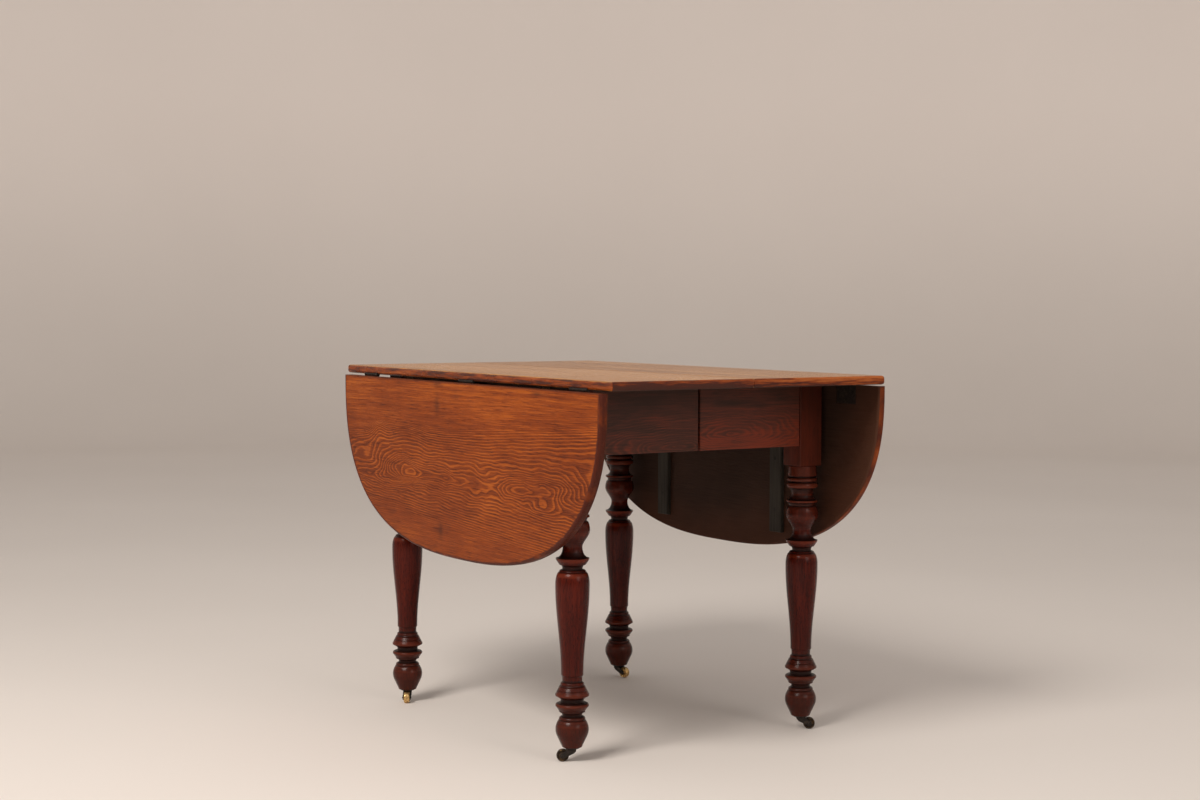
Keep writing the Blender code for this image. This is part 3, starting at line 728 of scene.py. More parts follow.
def oak_leaf_look(name, heart, eyes, bumps, stains, rubbed, seed=ORIGIN):
    """Oiled oak of a leaf: figured outer face, dark worn rim and raw inner face."""
    look = Look(name, seed)
    x, y, z = look.axes()
    count, far = oak_rings(look, y, z, heart, eyes, bumps)
    fibre = look.noise((500.0, 12.0, 480.0), 3.0, 0.65)
    streak = look.noise((30.0, 4.5, 170.0), 3.0, 0.6)
    dashes = look.noise((900.0, 18.0, 430.0), 2.0, 0.6)
    ring = look.ramp(look.math("FRACT", count + fibre * 0.5), *RING_STOPS)
    pores = early_pores(look, ring)
    cloud = look.noise((3.0, 3.5, 6.0), 3.0, 0.55)
    patch = look.noise((7.0, 7.0, 11.0), 2.0, 0.5)
    strength = (look.step(far, 0.100, 0.072) * 0.43 + 0.15) * (patch * 1.2 + 1.0)
    upper = look.step(z, heart[1] + 0.06, heart[1] + 0.19)
    shade = (ring - 0.50) * strength + fibre * 0.95 + streak * (upper * 0.7 + 0.4)
    lower = look.step(z, heart[1] - 0.05, heart[1] - 0.12)
    shade = shade + cloud * 0.80 + upper * 0.17 + lower * 0.07 + 0.46
    shade = shade - look.step(dashes, 0.06, 0.20) * 0.30 - pores * 0.32
    outer = look.ramp(shade, *OAK)
    for centre, size, depth in stains:
        outer = look.mix(look.spot(y, z, centre, size) * depth, outer, STAIN)

    reach = (abs(y) / LEAF_EDGE) ** LEAF_FULLNESS
    reach = (reach + (abs(LEAF_UPPER - z) / LEAF_DEPTH) ** LEAF_FULLNESS) ** (1 / LEAF_FULLNESS)
    wear = look.noise((40.0, 22.0, 22.0), 3.0, 0.6)
    rim = look.step(reach + wear * 0.026 + fibre * 0.012, 0.980, 0.988)
    rim_face = look.ramp(wear + rubbed, (0.45, OAK_RIM), (0.75, OAK_BODY), (1.0, OAK_WORN))
    outer = look.mix(rim, outer, rim_face)
    joint = look.step(z, LEAF_UPPER - 0.004, LEAF_UPPER - 0.0008)
    outer = look.mix(joint * 0.7, outer, OAK_RIM)

    handled = look.step(reach + cloud * 0.25, 0.70, 1.0)
    raw = look.mix(handled * 0.6, raw_oak(look, cloud, fibre), OAK_HANDLED)
    inside = look.step(abs(x), LEAF_INNER + 0.0045, LEAF_INNER + 0.0020)
    surface = look.mix(inside, outer, raw)
    rough = 0.36 + (1.0 - shade) * 0.12 + inside * 0.30
    return look.finish(surface, rough, shade - pores * 0.5, 0.0003, Specular_IOR_Level=0.16)


def oak_top_look(name, seed):
    """Paler scrubbed oak of a top board, with stained and worn edges and a raw underside."""
    look = Look(name, seed)
    x, y, z = look.axes()
    bend = look.noise((9.0, 4.0, 0.0), 2.0, 0.5)
    right = look.step(x, -0.001, 0.001)
    across = x + 0.150 - right * 0.365 + bend * 0.07
    along = y - 0.130 + right * 0.330
    far = look.math("SQRT", across * across + (along * (0.15 - right * 0.03)) ** 2.0)
    fibre = look.noise((420.0, 9.0, 500.0), 3.0, 0.6)
    count = far * 105.0 + far * far * 190.0 + fibre * 0.5
    ring = look.ramp(look.math("FRACT", count), *RING_STOPS)
    pores = early_pores(look, ring)
    cloud = look.noise((6.0, 3.5, 3.0), 3.0, 0.55)
    board = look.noise((16.0, 1.2, 0.0), 2.0, 0.5)
    shade = (ring - 0.5) * 0.45 + fibre * 0.85 + cloud * 0.45 + board * 0.9 + 0.5
    # The right board is darker than the left: the left board's lightness is a painted sheen.
    shade = shade - pores * 0.34 - right * 0.16 + 0.09
    face = look.ramp(shade, *TOP_OAK)

    streak = look.noise((20.0, 90.0, 240.0), 3.0, 0.65)
    arris = look.step(z, TABLE_HEIGHT - 0.014, TABLE_HEIGHT - 0.003)
    worn = look.step(x, -0.15, 0.20) * 0.38 + streak * 1.3 + arris * 0.33 + 0.18
    ragged = streak * 0.006 + fibre * 0.003
    edge = look.step(abs(y) + ragged, TOP_EDGE - 0.0046, TOP_EDGE - 0.0034)
    edge_face = worn_edge(look, worn, 0.22, 0.46, 0.66, 0.90)
    seam = look.band(x, 0.0024)
    face = look.mix(seam * 0.75, face, STAIN)
    face = look.mix(edge, face, edge_face)
    end = look.step(abs(x) + ragged * 0.4, TOP_END - 0.0020, TOP_END - 0.0014)
    end_wear = look.noise((90.0, 14.0, 160.0), 3.0, 0.6)
    end_face = worn_edge(look, end_wear + 0.5, 0.26, 0.40, 0.56, 0.80)
    face = look.mix(end, face, end_face)

    under = look.step(z, UNDERSIDE + 0.0016, UNDERSIDE + 0.0006)
    surface = look.mix(under, face, raw_oak(look, cloud, fibre))
    rough = 0.23 + (1.0 - shade) * 0.10 + edge * 0.39 + under * 0.41
    return look.finish(surface, rough, shade, 0.0003, Specular_IOR_Level=0.30)


def mahogany_look(name):
    """Dark polished turnings with vertical grain, dirt and painted shade in the grooves, and high spots
    lighter from wear and painted highlight.
    """
    look = Look(name)
    grain = look.noise((230.0, 230.0, 7.0), 4.0, 0.6)
    flame = look.noise((38.0, 38.0, 4.0), 3.0, 0.55)
    fleck = look.noise((950.0, 950.0, 55.0), 2.0, 0.6)
    shade = grain * 0.9 + flame * 0.9 + 0.54 - look.step(fleck, 0.04, 0.13) * 0.42
    wood = look.ramp(shade, *MAHOGANY)
    # High crests are lightened: partly rubbed wear, partly a painted highlight.
    rubbed = look.step(look.stored("crest") + flame * 0.8, 0.35, 1.0)
    wood = look.mix(rubbed * 0.55, wood, MAHOGANY_RUBBED_AND_HIGHLIGHT)
    # Crevices and necks are darkened with dirt and with painted shade.
    grime_and_shade = look.step(look.stored("recess") + flame * 0.4, 0.20, 0.85)
    height = look.axes()[2] + flame * 0.06
    # The foot is mixed towards a grey-brown: dust, and painted sheen.
    foot = look.step(height, 0.185, 0.120)
    wood = look.mix(foot * 0.45, wood, MAHOGANY_DUST_AND_SHEEN)
    # The upper turning and post are lighter: faded wood, and a painted sheen of reflection.
    faded_and_sheen = look.step(height, 0.40, 0.50)
    wood = look.mix(faded_and_sheen * 0.34, wood, MAHOGANY_FADED_AND_SHEEN)
    # The top of the post is darker: a painted shadow under the overhang of the top.
    overhang_shadow = look.step(height, 0.60, 0.70)
    wood = look.mix(overhang_shadow * 0.45, wood, MAHOGANY_PAINTED_SHADOW)
    wood = look.mix(grime_and_shade * 0.86, wood, GRIME_AND_SHADE)
    rough = 0.18 + grime_and_shade * 0.20 + (1.0 - shade) * 0.08
    return look.finish(wood, rough, shade, 0.00015, Specular_IOR_Level=0.15)


def apron_look(name, heart, glow, seed=ORIGIN):
    """Dark stained veneer with a flame figure along its lower edge."""
    look = Look(name, seed)
    x, y, z = look.axes()
    run = x + y
    bend = look.noise((6.0, 6.0, 18.0), 2.0, 0.5)
    across = z - heart[1] + bend * 0.030
    ripple = look.noise((22.0, 22.0, 40.0), 1.0, 0.5)
    far = look.math("SQRT", across * across + ((run - heart[0]) * 0.22) ** 2.0)
    far = far + ripple * 0.012
    ring = look.ramp(look.math("FRACT", far * 210.0), (0.0, 0.0), (0.40, 0.35), (0.65, 1.0), (1.0, 0.0))
    fibre = look.noise((9.0, 9.0, 300.0), 3.0, 0.6)
    cloud = look.noise((4.0, 4.0, 13.0), 3.0, 0.5)
    patch = look.noise((9.0, 9.0, 14.0), 2.0, 0.5)
    low = look.step(z, 0.685, 0.625)
    # The apron is darker near its upper edge: a painted shadow under the overhang of the top.
    high = look.step(z, 0.655, 0.715)
    shade = (ring - 0.45) * (low * 0.34 + 0.06) * (patch * 1.6 + 0.9) + fibre * 0.95
    pores = look.noise((45.0, 45.0, 1100.0), 2.0, 0.6)
    shade = shade + cloud * 1.5 + low * (glow + 0.06) - high * 0.14 + 0.45
    shade = shade - look.step(pores, 0.04, 0.13) * 0.22
    wood = look.ramp(shade, *VENEER)
    rough = 0.40 + (1.0 - shade) * 0.12
    return look.finish(wood, rough, shade, 0.0002, Specular_IOR_Level=0.28)


def plain_wood_look(name, stretch, light, dark, seed=ORIGIN):
    """Unfinished inner wood with saw marks and dust."""
    look = Look(name, seed)
    grain = look.noise(stretch, 4.0, 0.6)
    cloud = look.noise((9.0, 9.0, 9.0), 3.0, 0.55)
    shade = grain * 1.6 + cloud * 0.8 + 0.5
    wood = look.ramp(shade, (0.1, dark), (0.9, light))
    return look.finish(wood, 0.62 + (1.0 - shade) * 0.15, shade, 0.0004, Specular_IOR_Level=0.3)


def metal_look(name, bright, dull, shine, limit):
    """Old metal: bare where it is handled, dark and rough where it is not."""
    look = Look(name)
    patch = look.noise((160.0, 160.0, 160.0), 4.0, 0.6)
    speck = look.noise((900.0, 900.0, 900.0), 2.0, 0.6, (3.1, 0.7, 1.9))
    tarnish = look.step(patch + speck * 0.35, limit - 0.14, limit + 0.14)
    face = look.mix(tarnish, dull, bright)
    look.feed(look.shader.inputs["Metallic"], 0.55 + tarnish * 0.40)
    return look.finish(face, 0.62 - tarnish * shine, speck, 0.0001)


# Stage

def add_camera():
    """The camera that was fitted to the photograph."""
    camera = bpy.data.objects.new("photo_camera", bpy.data.cameras.new("photo_camera"))
    camera.data.lens = CAMERA_LENS
    camera.data.sensor_width = CAMERA_SENSOR
    turn = Matrix.Rotation(CAMERA_YAW, 4, "Z") @ Matrix.Rotation(CAMERA_TILT, 4, "X")
    camera.matrix_world = Matrix.Translation(CAMERA_PLACE) @ turn @ Matrix.Rotation(CAMERA_ROLL, 4, "Z")
    bpy.context.scene.collection.objects.link(camera)
    bpy.context.scene.camera = camera


def add_lamp(name, place, target, size, power, tint):
    """A soft round lamp that points at a target."""
    lamp = bpy.data.lights.new(name, "AREA")
    lamp.shape = "DISK"
    lamp.size = size
    lamp.energy = power
    lamp.color = tint
    item = bpy.data.objects.new(name, lamp)
    item.location = place
    item.rotation_euler = (Vector(target) - item.location).to_track_quat("-Z", "Y").to_euler()
    item.visible_camera = False
    bpy.context.scene.collection.objects.link(item)


def add_stage():
    """A round pale floor that curves up into a wall on every side, and the light."""
    angles = [math.radians(angle) for angle in range(0, 91, STAGE_SWEEP_STEP)]
    curve = [(STAGE_RADIUS + STAGE_SWEEP * math.sin(angle), STAGE_SWEEP * (1 - math.cos(angle)))
             for angle in angles]
    outline = [(0.0, 0.0), *curve, (STAGE_RADIUS + STAGE_SWEEP, STAGE_WALL)]
    stage = turned("studio_floor", outline, STAGE_STEPS)
    open_mesh(stage)
    bpy.ops.mesh.flip_normals()
    close_mesh()
    smooth(stage)
    look = Look("studio_paint")
    cloud = look.noise((0.6, 0.6, 0.6), 2.0, 0.5)
    paint = look.ramp(cloud + 0.5, (0.2, STAGE_DARK), (0.8, STAGE_LIGHT))
    camera, glossy, through = (look.node("ShaderNodeLightPath", output=f"Is {kind} Ray")
                               for kind in ("Camera", "Glossy", "Transmission"))
    glow = look.step(look.axes()[2], 0.0, GLOW_HEIGHT) * (camera + glossy + through)
    look.feed(look.shader.inputs["Emission Color"], look.mix(glow, NO_GLOW, STAGE_GLOW))
    look.finish(paint, 0.75, Specular_IOR_Level=0.2, Emission_Strength=1.0)
    stage.data.materials.append(look.material)

    world = bpy.data.worlds.new("studio_light")
    world.use_nodes = True
    sky = world.node_tree.nodes["Background"]
    sky.inputs["Color"].default_value = SKY
    sky.inputs["Strength"].default_value = SKY_STRENGTH
    bpy.context.scene.world = world
    for name, values in LAMPS.items():
        add_lamp(name, *values)


# Pieces

def curve_point(curve, upper, lower, share):
    """Radius, and share of the drop, at a share of the way along one element of a turning."""
    change = lower - upper
    quarter = share * math.pi / 2
    if curve == "radial":
        return upper + change * math.sin(quarter), 1 - math.cos(quarter)
    if curve == "axial":
        return upper + change * (1 - math.cos(quarter)), math.sin(quarter)
    if curve == "ogee":
        return upper + change * (1 - math.cos(math.pi * share)) / 2, share
    if curve == "ball":
        great = max(upper, lower)
        cap = math.acos(min(upper, lower) / great)
        angle = cap * (1 - share) if lower > upper else cap * share
        drop = math.sin(angle) / math.sin(cap)
        return great * math.cos(angle), 1 - drop if lower > upper else drop
    return upper + change * share, share


def leg_profile():
    """Points (radius, height) of the turning, from the post down to the foot."""
    fixed = sum(drop for _, drop, _ in LEG_TURNING if drop is not None)
    spare = POST_BOTTOM - CASTER_HEIGHT - fixed
    height, radius = POST_BOTTOM, LEG_TOP_RADIUS
    profile = [(radius, height)]
    for curve, drop, lower in LEG_TURNING:
        drop = spare if drop is None else drop
        steps = CURVE_STEPS[curve]
        for step in range(1, steps + 1):
            point, share = curve_point(curve, radius, lower, step / steps)
            profile.append((point, height - drop * share))
        height, radius = height - drop, lower
    return profile


def nearby(profile, height, window):
    """The radii of a turning within a window of a height."""
    return [radius for radius, level in profile if abs(level - height) < window]


def fraction(value, full):
    """A value as a share of the full one, from 0 to 1."""
    return min(max(value / full, 0.0), 1.0)


def mark_wear_and_shade(leg, profile):
    """Store where a turning is darkened with dirt and painted shade, in crevices and necks, and which
    crests are lightened with wear and painted highlight.
    """
    recess, crest = [], []
    for vert in leg.data.vertices:
        radius, height = math.hypot(vert.co.x, vert.co.y), vert.co.z
        close = nearby(profile, height, CREVICE_REACH)
        wide = nearby(profile, height, NECK_REACH)
        if height > POST_BOTTOM - FIT or not close:
            close = wide = [radius]
        crevice = fraction(max(close) - radius, CREVICE_DEPTH)
        neck = fraction(max(wide) - radius, NECK_DEPTH) * NECK_DIRT_AND_SHADE
        recess.append(max(crevice, neck))
        crest.append(fraction(radius - (max(wide) + min(wide)) / 2, CREST_HEIGHT))
    for name, values in (("recess", recess), ("crest", crest)):
        leg.data.attributes.new(name, "FLOAT", "POINT").data.foreach_set("value", values)


def make_legs(looks):
    """One leg turned, joined to its post and mortised, then set at the four corners."""
    profile = leg_profile()
    bore, bore_top = SOCKET_WALL + FIT, SOCKET_TOP + FIT
    root = POST_BOTTOM + POST_CHAMFER * POST_STEPS
    outline = [(0.0, root), (LEG_TOP_RADIUS, root), *profile,
               (bore, CASTER_HEIGHT), (bore, bore_top), (0.0, bore_top)]
    turning = turned("leg_turning", outline, LEG_STEPS)
    leg = block("leg", (-POST_HALF, -POST_HALF, POST_BOTTOM), (POST_HALF, POST_HALF, FRAME_TOP))
    round_edges(leg, lambda a, b: min(a.z, b.z) < FRAME_TOP - FIT, POST_CHAMFER, POST_STEPS)
    combine(leg, turning, "UNION")
    near, far = -MORTISE_OFFSET - TENON_HALF, -MORTISE_OFFSET + TENON_HALF
    inner, outer = POST_HALF - TENON_LENGTH, POST_HALF + FIT
    for low, high in (((inner, near), (outer, far)), ((near, inner), (far, outer))):
        mortise = block("mortise", (*low, MORTISE_LOW), (*high, MORTISE_HIGH))
        combine(leg, mortise, "DIFFERENCE")
    smooth(leg, LEG_SHARP)
    mark_wear_and_shade(leg, profile)
    for corner, (side, row, turn, _) in CORNERS.items():
        piece = copy_of(leg, corner + "_turned_leg", turn, (side * LEG_X, row * LEG_Y, 0))
        dress(piece, looks["mahogany"], corner.split("_")[0] + "_half", "mahogany", corner + "_leg")
    discard(leg)


def cut_hinge_beds(piece, box_low, box_high):
    """Cut the shallow beds of the hinge plates and the notches round their knuckles."""
    beds, notches = [], []
    reach = HINGE_PIN_REACH + RUN
    for row in HINGE_ROWS.values():
        bed_low = (box_low[0], row - HINGE_HALF - FIT, box_low[1])
        bed_high = (box_high[0], row + HINGE_HALF + FIT, box_high[1])
        beds.append(block("bed", bed_low, bed_high))
        notches.append(cross_bar("notch", KNUCKLE_RADIUS + RUN, HINGE_LINE, row - reach, row + reach))
    combine(piece, joined(beds), "DIFFERENCE")
    combine(piece, joined(notches), "DIFFERENCE")


def make_tops(looks):
    """Two boards that meet at the seam: the right one carries the register pins."""
    board = block("board", (-TOP_END, -TOP_EDGE, UNDERSIDE), (-SEAM_HALF, TOP_EDGE, TABLE_HEIGHT))
    round_edges(board, lambda a, b: abs(a.y) > TOP_EDGE - FIT and abs(b.y) > TOP_EDGE - FIT
                and abs(a.z - b.z) < FIT, EDGE_RADIUS, EDGE_STEPS)
    round_edges(board, lambda a, b: max(a.x, b.x) < FIT - TOP_END, EDGE_EASE * 2, EASE_STEPS)
    round_edges(board, lambda a, b: min(a.x, b.x) > -SEAM_HALF - FIT, EDGE_EASE, EASE_STEPS)
    cut_hinge_beds(board, (-TOP_END - EDGE_RADIUS, UNDERSIDE - EDGE_RADIUS),
                   (-HINGE_X + HINGE_TOP_REACH + FIT, UNDERSIDE + HINGE_PLATE + FIT))
    middle = TABLE_HEIGHT - BOARD_THICKNESS / 2
    for side, turn in SIDES.items():
        top = copy_of(board, side + "_oak_top", turn)
        room, inside, operation = RUN, PIN_RADIUS, "DIFFERENCE"
        if side == "right":
            room, inside, operation = 0.0, PIN_REACH, "UNION"
        pins = [bar("pin", PIN_RADIUS + room, (-PIN_REACH - room, row, middle), (inside, row, middle),
                    PIN_SIDES) for row in PIN_ROWS]
        combine(top, joined(pins), operation)
        smooth(top)
        dress(top, looks["oak_top"], side + "_half", "oak_board", side + "_top")
    discard(board)


def make_leaves(looks):
    """A round blank cut in half, drawn out to the leaf's full curve and given its thickness."""
    deselect()
    bpy.ops.mesh.primitive_circle_add(vertices=LEAF_POINTS, radius=1, fill_type="NGON")
    leaf = named("leaf")
    open_mesh(leaf)
    bpy.ops.mesh.bisect(plane_co=ORIGIN, plane_no=(0, 1, 0), clear_outer=True, use_fill=False)
    mesh = bmesh.from_edit_mesh(leaf.data)
    power = 2 / LEAF_FULLNESS
    for vert in mesh.verts:
        along = math.copysign(min(abs(vert.co.x), 1.0) ** power, vert.co.x) * LEAF_EDGE
        down = max(-vert.co.y, 0.0) ** power * LEAF_DEPTH
        vert.co = (-LEAF_INNER, along, LEAF_UPPER - down)
    bmesh.update_edit_mesh(leaf.data)
    bpy.ops.mesh.select_all(action="SELECT")
    bpy.ops.mesh.remove_doubles(threshold=MERGE)
    extrude((-BOARD_THICKNESS, 0, 0))
    close_solid()
    round_edges(leaf, lambda a, b: abs(a.x - b.x) < FIT and min(a.z, b.z) < LEAF_UPPER - FIT,
                EDGE_RADIUS, EDGE_STEPS)
    round_edges(leaf, lambda a, b: min(a.z, b.z) > LEAF_UPPER - FIT and abs(a.y - b.y) > EDGE_RADIUS,
                EDGE_EASE, EASE_STEPS)
    cut_hinge_beds(leaf, (-LEAF_INNER - HINGE_PLATE - FIT, HINGE_Z - HINGE_LEAF_REACH - FIT),
                   (-LEAF_INNER + EDGE_RADIUS, HINGE_Z))
    smooth(leaf)
    for side, turn in SIDES.items():
        piece = copy_of(leaf, side + "_oak_leaf", turn)
        dress(piece, looks[side + "_oak_leaf"], side + "_leaf", "oak_board", side + "_leaf")
    discard(leaf)


def make_screw(name, radius):
    """A slotted, countersunk screw head, let in at Z = 0 with its face up and a little proud."""
    proud, depth, slot = SCREW_PROUD, SCREW_DEPTH, radius * SLOT_HALF
    deselect()
    bpy.ops.mesh.primitive_cone_add(vertices=SCREW_SIDES, radius1=radius * SCREW_TAPER, radius2=radius,
                                    depth=depth, location=(0, 0, proud - depth / 2))
    screw = named(name)
    ease(screw, radius * SCREW_EASE, EASE_STEPS, SCREW_SHARP)
    groove = block(name + "_groove", (-radius * 2, -slot, proud - depth * SLOT_DEPTH),
                   (radius * 2, slot, proud + depth))
    combine(screw, groove, "DIFFERENCE")
    smooth(screw)
    return screw


def set_screws(screw, name, places, turn):
    """Copies of a screw at some places, all turned alike but for their slots, made one object."""
    copies = []
    for number, place in enumerate(places):
        item = copy_of(screw, f"{name}.{number}")
        slot = Matrix.Rotation(SLOT_START + SLOT_STEP * number, 4, "Z")
        item.matrix_world = Matrix.Translation(place) @ turn @ slot
        copies.append(named(item.name))
    joined(copies)
    return named(name)


def make_hinges(looks):
    """Back-flap hinges: a plate in the top and a plate in the leaf, three knuckles and a pin."""
    half, third, gap = HINGE_HALF, KNUCKLE_THIRD, KNUCKLE_GAP / 2
    x, z = HINGE_LINE
    clear = KNUCKLE_RADIUS + RUN
    top = block("top_plate", (x, -half, UNDERSIDE), (x + HINGE_TOP_REACH, half, UNDERSIDE + HINGE_PLATE))
    ease(top, HINGE_EASE)
    room = block("room", (x - clear, -half + third - gap * 2, UNDERSIDE - clear),
                 (x + clear, half - third + gap * 2, UNDERSIDE + clear))
    combine(top, room, "DIFFERENCE")
    ends = [cross_bar("knuckle", KNUCKLE_RADIUS, HINGE_LINE, way * half, way * (half - third + gap))
            for way in (-1, 1)]
    combine(top, joined(ends), "UNION")
    pin = cross_bar("pin", HINGE_PIN, HINGE_LINE, -HINGE_PIN_REACH, HINGE_PIN_REACH)
    combine(top, pin, "UNION")
    smooth(top)

    leaf = block("leaf_plate", (-LEAF_INNER - HINGE_PLATE, -half, z - HINGE_LEAF_REACH),
                 (-LEAF_INNER, half, z))
    ease(leaf, HINGE_EASE)
    inner, outer = half - third - gap, half + gap
    rooms = [block("room", (-LEAF_INNER - clear, low, z - clear), (-LEAF_INNER + clear, high, z + clear))
             for low, high in ((-outer, -inner), (inner, outer))]
    combine(leaf, joined(rooms), "DIFFERENCE")
    knuckle = cross_bar("knuckle", KNUCKLE_RADIUS, HINGE_LINE, -inner, inner)
    combine(leaf, knuckle, "UNION")
    bore = cross_bar("bore", HINGE_PIN + RUN, HINGE_LINE, -half, half)
    combine(leaf, bore, "DIFFERENCE")
    smooth(leaf)

    screw = make_screw("hinge_screw", HINGE_SCREW)
    down = Matrix.Rotation(math.pi, 4, "X")
    inward = Matrix.Rotation(math.pi / 2, 4, "Y")
    top_places = [(x + reach, row, UNDERSIDE) for reach, row in HINGE_TOP_SCREWS]
    leaf_places = [(-LEAF_INNER, row, z - reach) for reach, row in HINGE_LEAF_SCREWS]
    top_screws = set_screws(screw, "top_screws", top_places, down)
    leaf_screws = set_screws(screw, "leaf_screws", leaf_places, inward)
    for side, turn in SIDES.items():
        for row_name, row in HINGE_ROWS.items():
            hinge = f"{side}_{row_name}_hinge"
            for model, part, look, body, nodes in (
                (top, "_back_flap", "iron", side + "_half", [hinge + "_top_plate"]),
                (leaf, "_leaf_flap", "iron", side + "_leaf", [hinge + "_leaf_plate"]),
                (top_screws, "_top_screws", "screw", side + "_half", []),
                (leaf_screws, "_leaf_screws", "screw", side + "_leaf", []),
            ):
                piece = copy_of(model, hinge + part, turn, (0, row, 0))
                dress(piece, looks[look], body, "iron", *nodes)
    discard(top, leaf, top_screws, leaf_screws, screw)


def make_frame_pieces(looks):
    """Aprons, battens, supports, slides and corner blocks with eased edges, and the battens' screws."""
    screw = make_screw("batten_screw", BATTEN_SCREW)
    for side in SIDES:
        half = side + "_half"
        apron = eased_copy(side + "_end_apron", side + "_figured_end_apron", BOARD_EASE)
        dress(apron, looks["apron_end"], half, "apron_wood", side + "_end_apron")
        for row in ("front", "back"):
            corner = f"{side}_{row}"
            for kind, name, width, look, body, slot in (
                ("_apron", "_figured_apron", BOARD_EASE, f"apron_{side}", half, "apron_wood"),
                ("_corner_block", "_glued_block", BLOCK_EASE, "block_wood", half, "plain_wood"),
                ("_slide_rail", "_dovetail_rail", SLIDE_EASE, "slide_wood", half, "plain_wood"),
                ("_loper", "_leaf_support", BOARD_EASE, "slide_wood", corner + "_loper", "plain_wood"),
                ("_batten", "_leaf_batten", SLIDE_EASE, "batten", side + "_leaf", "batten_wood"),
            ):
                piece = eased_copy(corner + kind, corner + name, width)
                dress(piece, looks[look], body, slot, corner + kind)
            low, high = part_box(corner + "_batten")
            face = high.x if side == "left" else low.x
            turn = Matrix.Rotation(math.pi / 2 if side == "left" else -math.pi / 2, 4, "Y")
            places = [(face, (low.y + high.y) / 2, LEAF_UPPER - depth) for depth in BATTEN_SCREWS]
            screws = set_screws(screw, corner + "_batten_screws", places, turn)
            dress(screws, looks["screw"], side + "_leaf", "iron")
    for row in ("front", "back"):
        runner = eased_copy(row + "_slide_runner", row + "_dovetail_runner", SLIDE_EASE)
        dress(runner, looks["slide_wood"], "slide_runners", "plain_wood", row + "_slide_runner")
    discard(screw)


def fork_outline():
    """Side view of a caster fork in (x, z)."""
    eye = []
    for degrees in range(FORK_EYE_START, FORK_EYE_END - 1, -FORK_EYE_STEP):
        angle = math.radians(degrees)
        eye.append((CASTER_TRAIL + FORK_EYE * math.cos(angle),
                    WHEEL_RADIUS + FORK_EYE * math.sin(angle)))
    return [(-FORK_BACK, FORK_TOP), (FORK_BACK, FORK_TOP), *eye,
            (-FORK_BACK / 2, FORK_TOP - FORK_CROWN), (-FORK_BACK, FORK_TOP - FORK_CROWN / 2)]


def make_casters(looks):
    """Socket, fork, axle and wheel, modelled once on a swivel that trails along +X."""
    socket = turned("socket", [
        (SOCKET_BORE, SOCKET_TOP),
        (SOCKET_WALL, SOCKET_TOP),
        (SOCKET_WALL, SOCKET_COLLAR),
        (SOCKET_FLANGE, SOCKET_COLLAR),
        (SOCKET_FLANGE, SOCKET_PLATE),
        (SOCKET_BORE, SOCKET_PLATE),
        (SOCKET_BORE, SOCKET_TOP),
    ], SOCKET_STEPS)
    ease(socket, SOCKET_EASE)
    smooth(socket)

    cheek = [(x, -FORK_CHEEK, z) for x, z in fork_outline()]
    fork = cut_from_outline("fork", cheek, (0, 2 * FORK_CHEEK, 0))
    room = cross_bar("room", WHEEL_ROOM, WHEEL_LINE, -FORK_SLOT, FORK_SLOT, ROOM_SIDES)
    combine(fork, room, "DIFFERENCE")
    ease(fork, FORK_EASE)
    pintle = bar("pintle", PINTLE_RADIUS, (0, 0, FORK_TOP - FORK_CROWN / 2), (0, 0, PINTLE_TOP))
    combine(fork, pintle, "UNION")
    eye = cross_bar("eye", AXLE_RADIUS + FIT, WHEEL_LINE, -2 * FORK_CHEEK, 2 * FORK_CHEEK, PIN_SIDES)
    combine(fork, eye, "DIFFERENCE")
    smooth(fork)

    reach = FORK_CHEEK + AXLE_PROUD
    axle = cross_bar("axle", AXLE_RADIUS, WHEEL_LINE, -reach, reach, PIN_SIDES)
    ease(axle, AXLE_EASE, AXLE_EASE_STEPS)
    smooth(axle)

    face = [(radius, WHEEL_HALF - inset) for radius, inset in WHEEL_FACE]
    face.insert(0, (AXLE_RADIUS + RUN, WHEEL_HALF))
    back = [(radius, -width) for radius, width in reversed(face)]
    wheel = turned("wheel", [*face, *back, face[0]], WHEEL_STEPS, (0, 1, 0))
    open_mesh(wheel)
    bpy.ops.transform.translate(value=(CASTER_TRAIL, 0, WHEEL_RADIUS))
    close_mesh()
    smooth(wheel, WHEEL_SHARP)

    for corner, (side, row, _, turn) in CORNERS.items():
        place = (side * LEG_X, row * LEG_Y, 0)
        half_body = corner.split("_")[0] + "_half"
        for model, part, look, body, slot in (
            (socket, "socket", "iron", half_body, "iron"),
            (fork, "fork", "iron", corner + "_caster", "iron"),
            (axle, "axle", "iron", corner + "_caster", "iron"),
            (wheel, "wheel", "bright_brass" if row > 0 else "brass", corner + "_wheel", "brass"),
        ):
            piece = copy_of(model, f"{corner}_cast_{part}", turn, place)
            dress(piece, looks[look], body, slot, f"{corner}_caster_{part}")
    discard(socket, fork, axle, wheel)


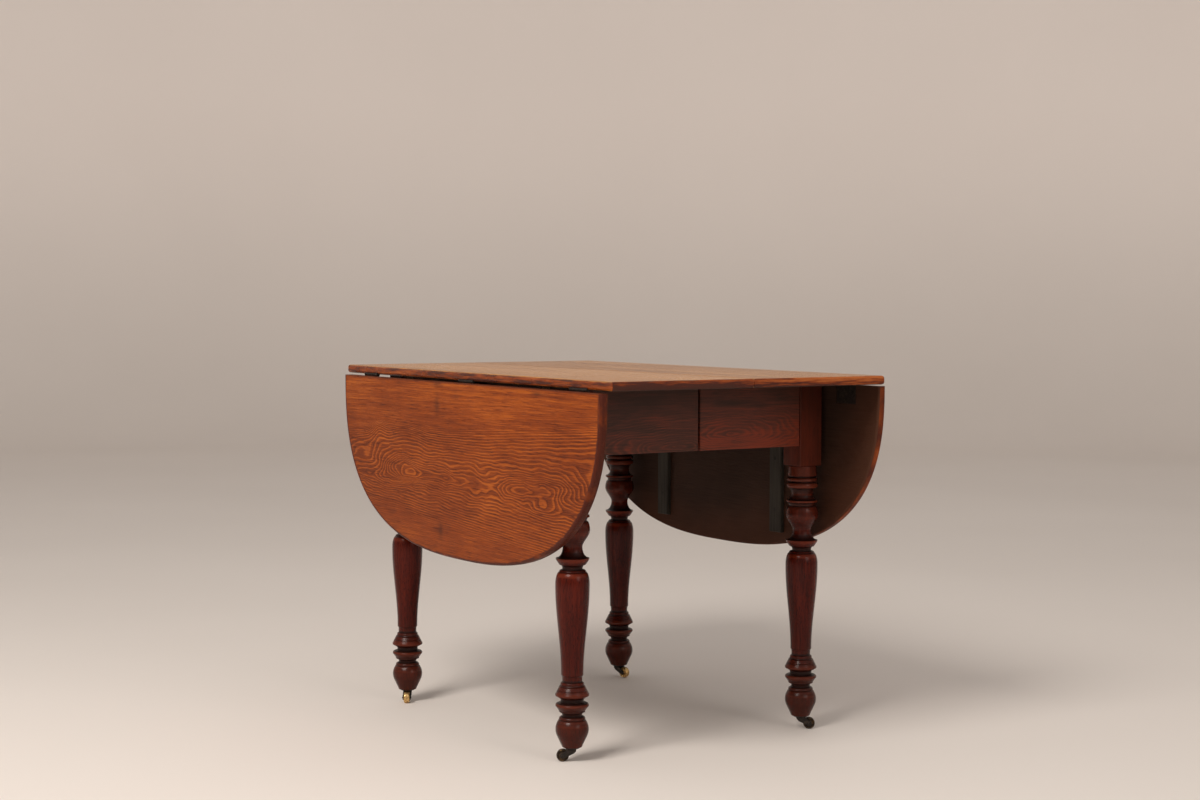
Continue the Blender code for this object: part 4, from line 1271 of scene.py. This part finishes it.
def make_looks():
    """All finishes. Marks on the leaves have a centre (along, height), a size and a strength."""
    eyes = (
        ((0.245, 0.521), (0.085, 0.024), 0.022),
        ((0.040, 0.519), (0.045, 0.016), 0.012),
        ((-0.290, 0.521), (0.105, 0.022), 0.022),
    )
    bumps = (
        ((0.250, 0.610), (0.100, 0.050), 0.024),
        ((0.362, 0.612), (0.036, 0.040), 0.020),
    )
    stains = (
        ((0.094, 0.668), (0.010, 0.020), 0.55),
        ((0.093, 0.713), (0.020, 0.006), 0.50),
        ((0.078, 0.410), (0.010, 0.016), 0.60),
        ((-0.307, 0.709), (0.020, 0.004), 0.65),
    )
    far_eyes = (
        ((-0.180, 0.545), (0.060, 0.020), 0.016),
        ((0.240, 0.545), (0.050, 0.018), 0.014),
    )
    far_stains = (((-0.260, 0.470), (0.030, 0.010), 0.40),)
    looks = {
        "left_oak_leaf": oak_leaf_look("left_leaf_oak", (-0.050, 0.521), eyes, bumps, stains, 0.42),
        "right_oak_leaf": oak_leaf_look("right_leaf_oak", (0.040, 0.545), far_eyes, (), far_stains,
                                        0.57, (4.3, 2.1, 7.7)),
        "oak_top": oak_top_look("top_oak", (1.7, 5.2, 3.3)),
        "mahogany": mahogany_look("leg_mahogany"),
        "apron_left": apron_look("left_apron_veneer", (-0.420, 0.600), 0.05, (2.0, 1.0, 0.0)),
        "apron_right": apron_look("right_apron_veneer", (-0.286, 0.627), 0.18),
        "apron_end": apron_look("end_apron_veneer", (0.300, 0.640), 0.12, (5.0, 3.0, 1.0)),
        "block_wood": plain_wood_look("block_wood", (170.0, 170.0, 9.0), *DUSTY_WOOD),
        "slide_wood": plain_wood_look("slide_wood", (7.0, 190.0, 230.0), *DUSTY_WOOD, (2.0, 0.0, 1.0)),
        "batten": plain_wood_look("batten_wood", (300.0, 300.0, 12.0), *GREY_WOOD, (1.0, 2.0, 3.0)),
    }
    for key, values in METALS.items():
        looks[key] = metal_look(*values)
    return looks


def main():
    bpy.context.scene.view_settings.view_transform = "Standard"
    add_camera()
    add_stage()
    looks = make_looks()
    make_legs(looks)
    make_tops(looks)
    make_leaves(looks)
    make_hinges(looks)
    make_frame_pieces(looks)
    make_casters(looks)


main()
deselect()
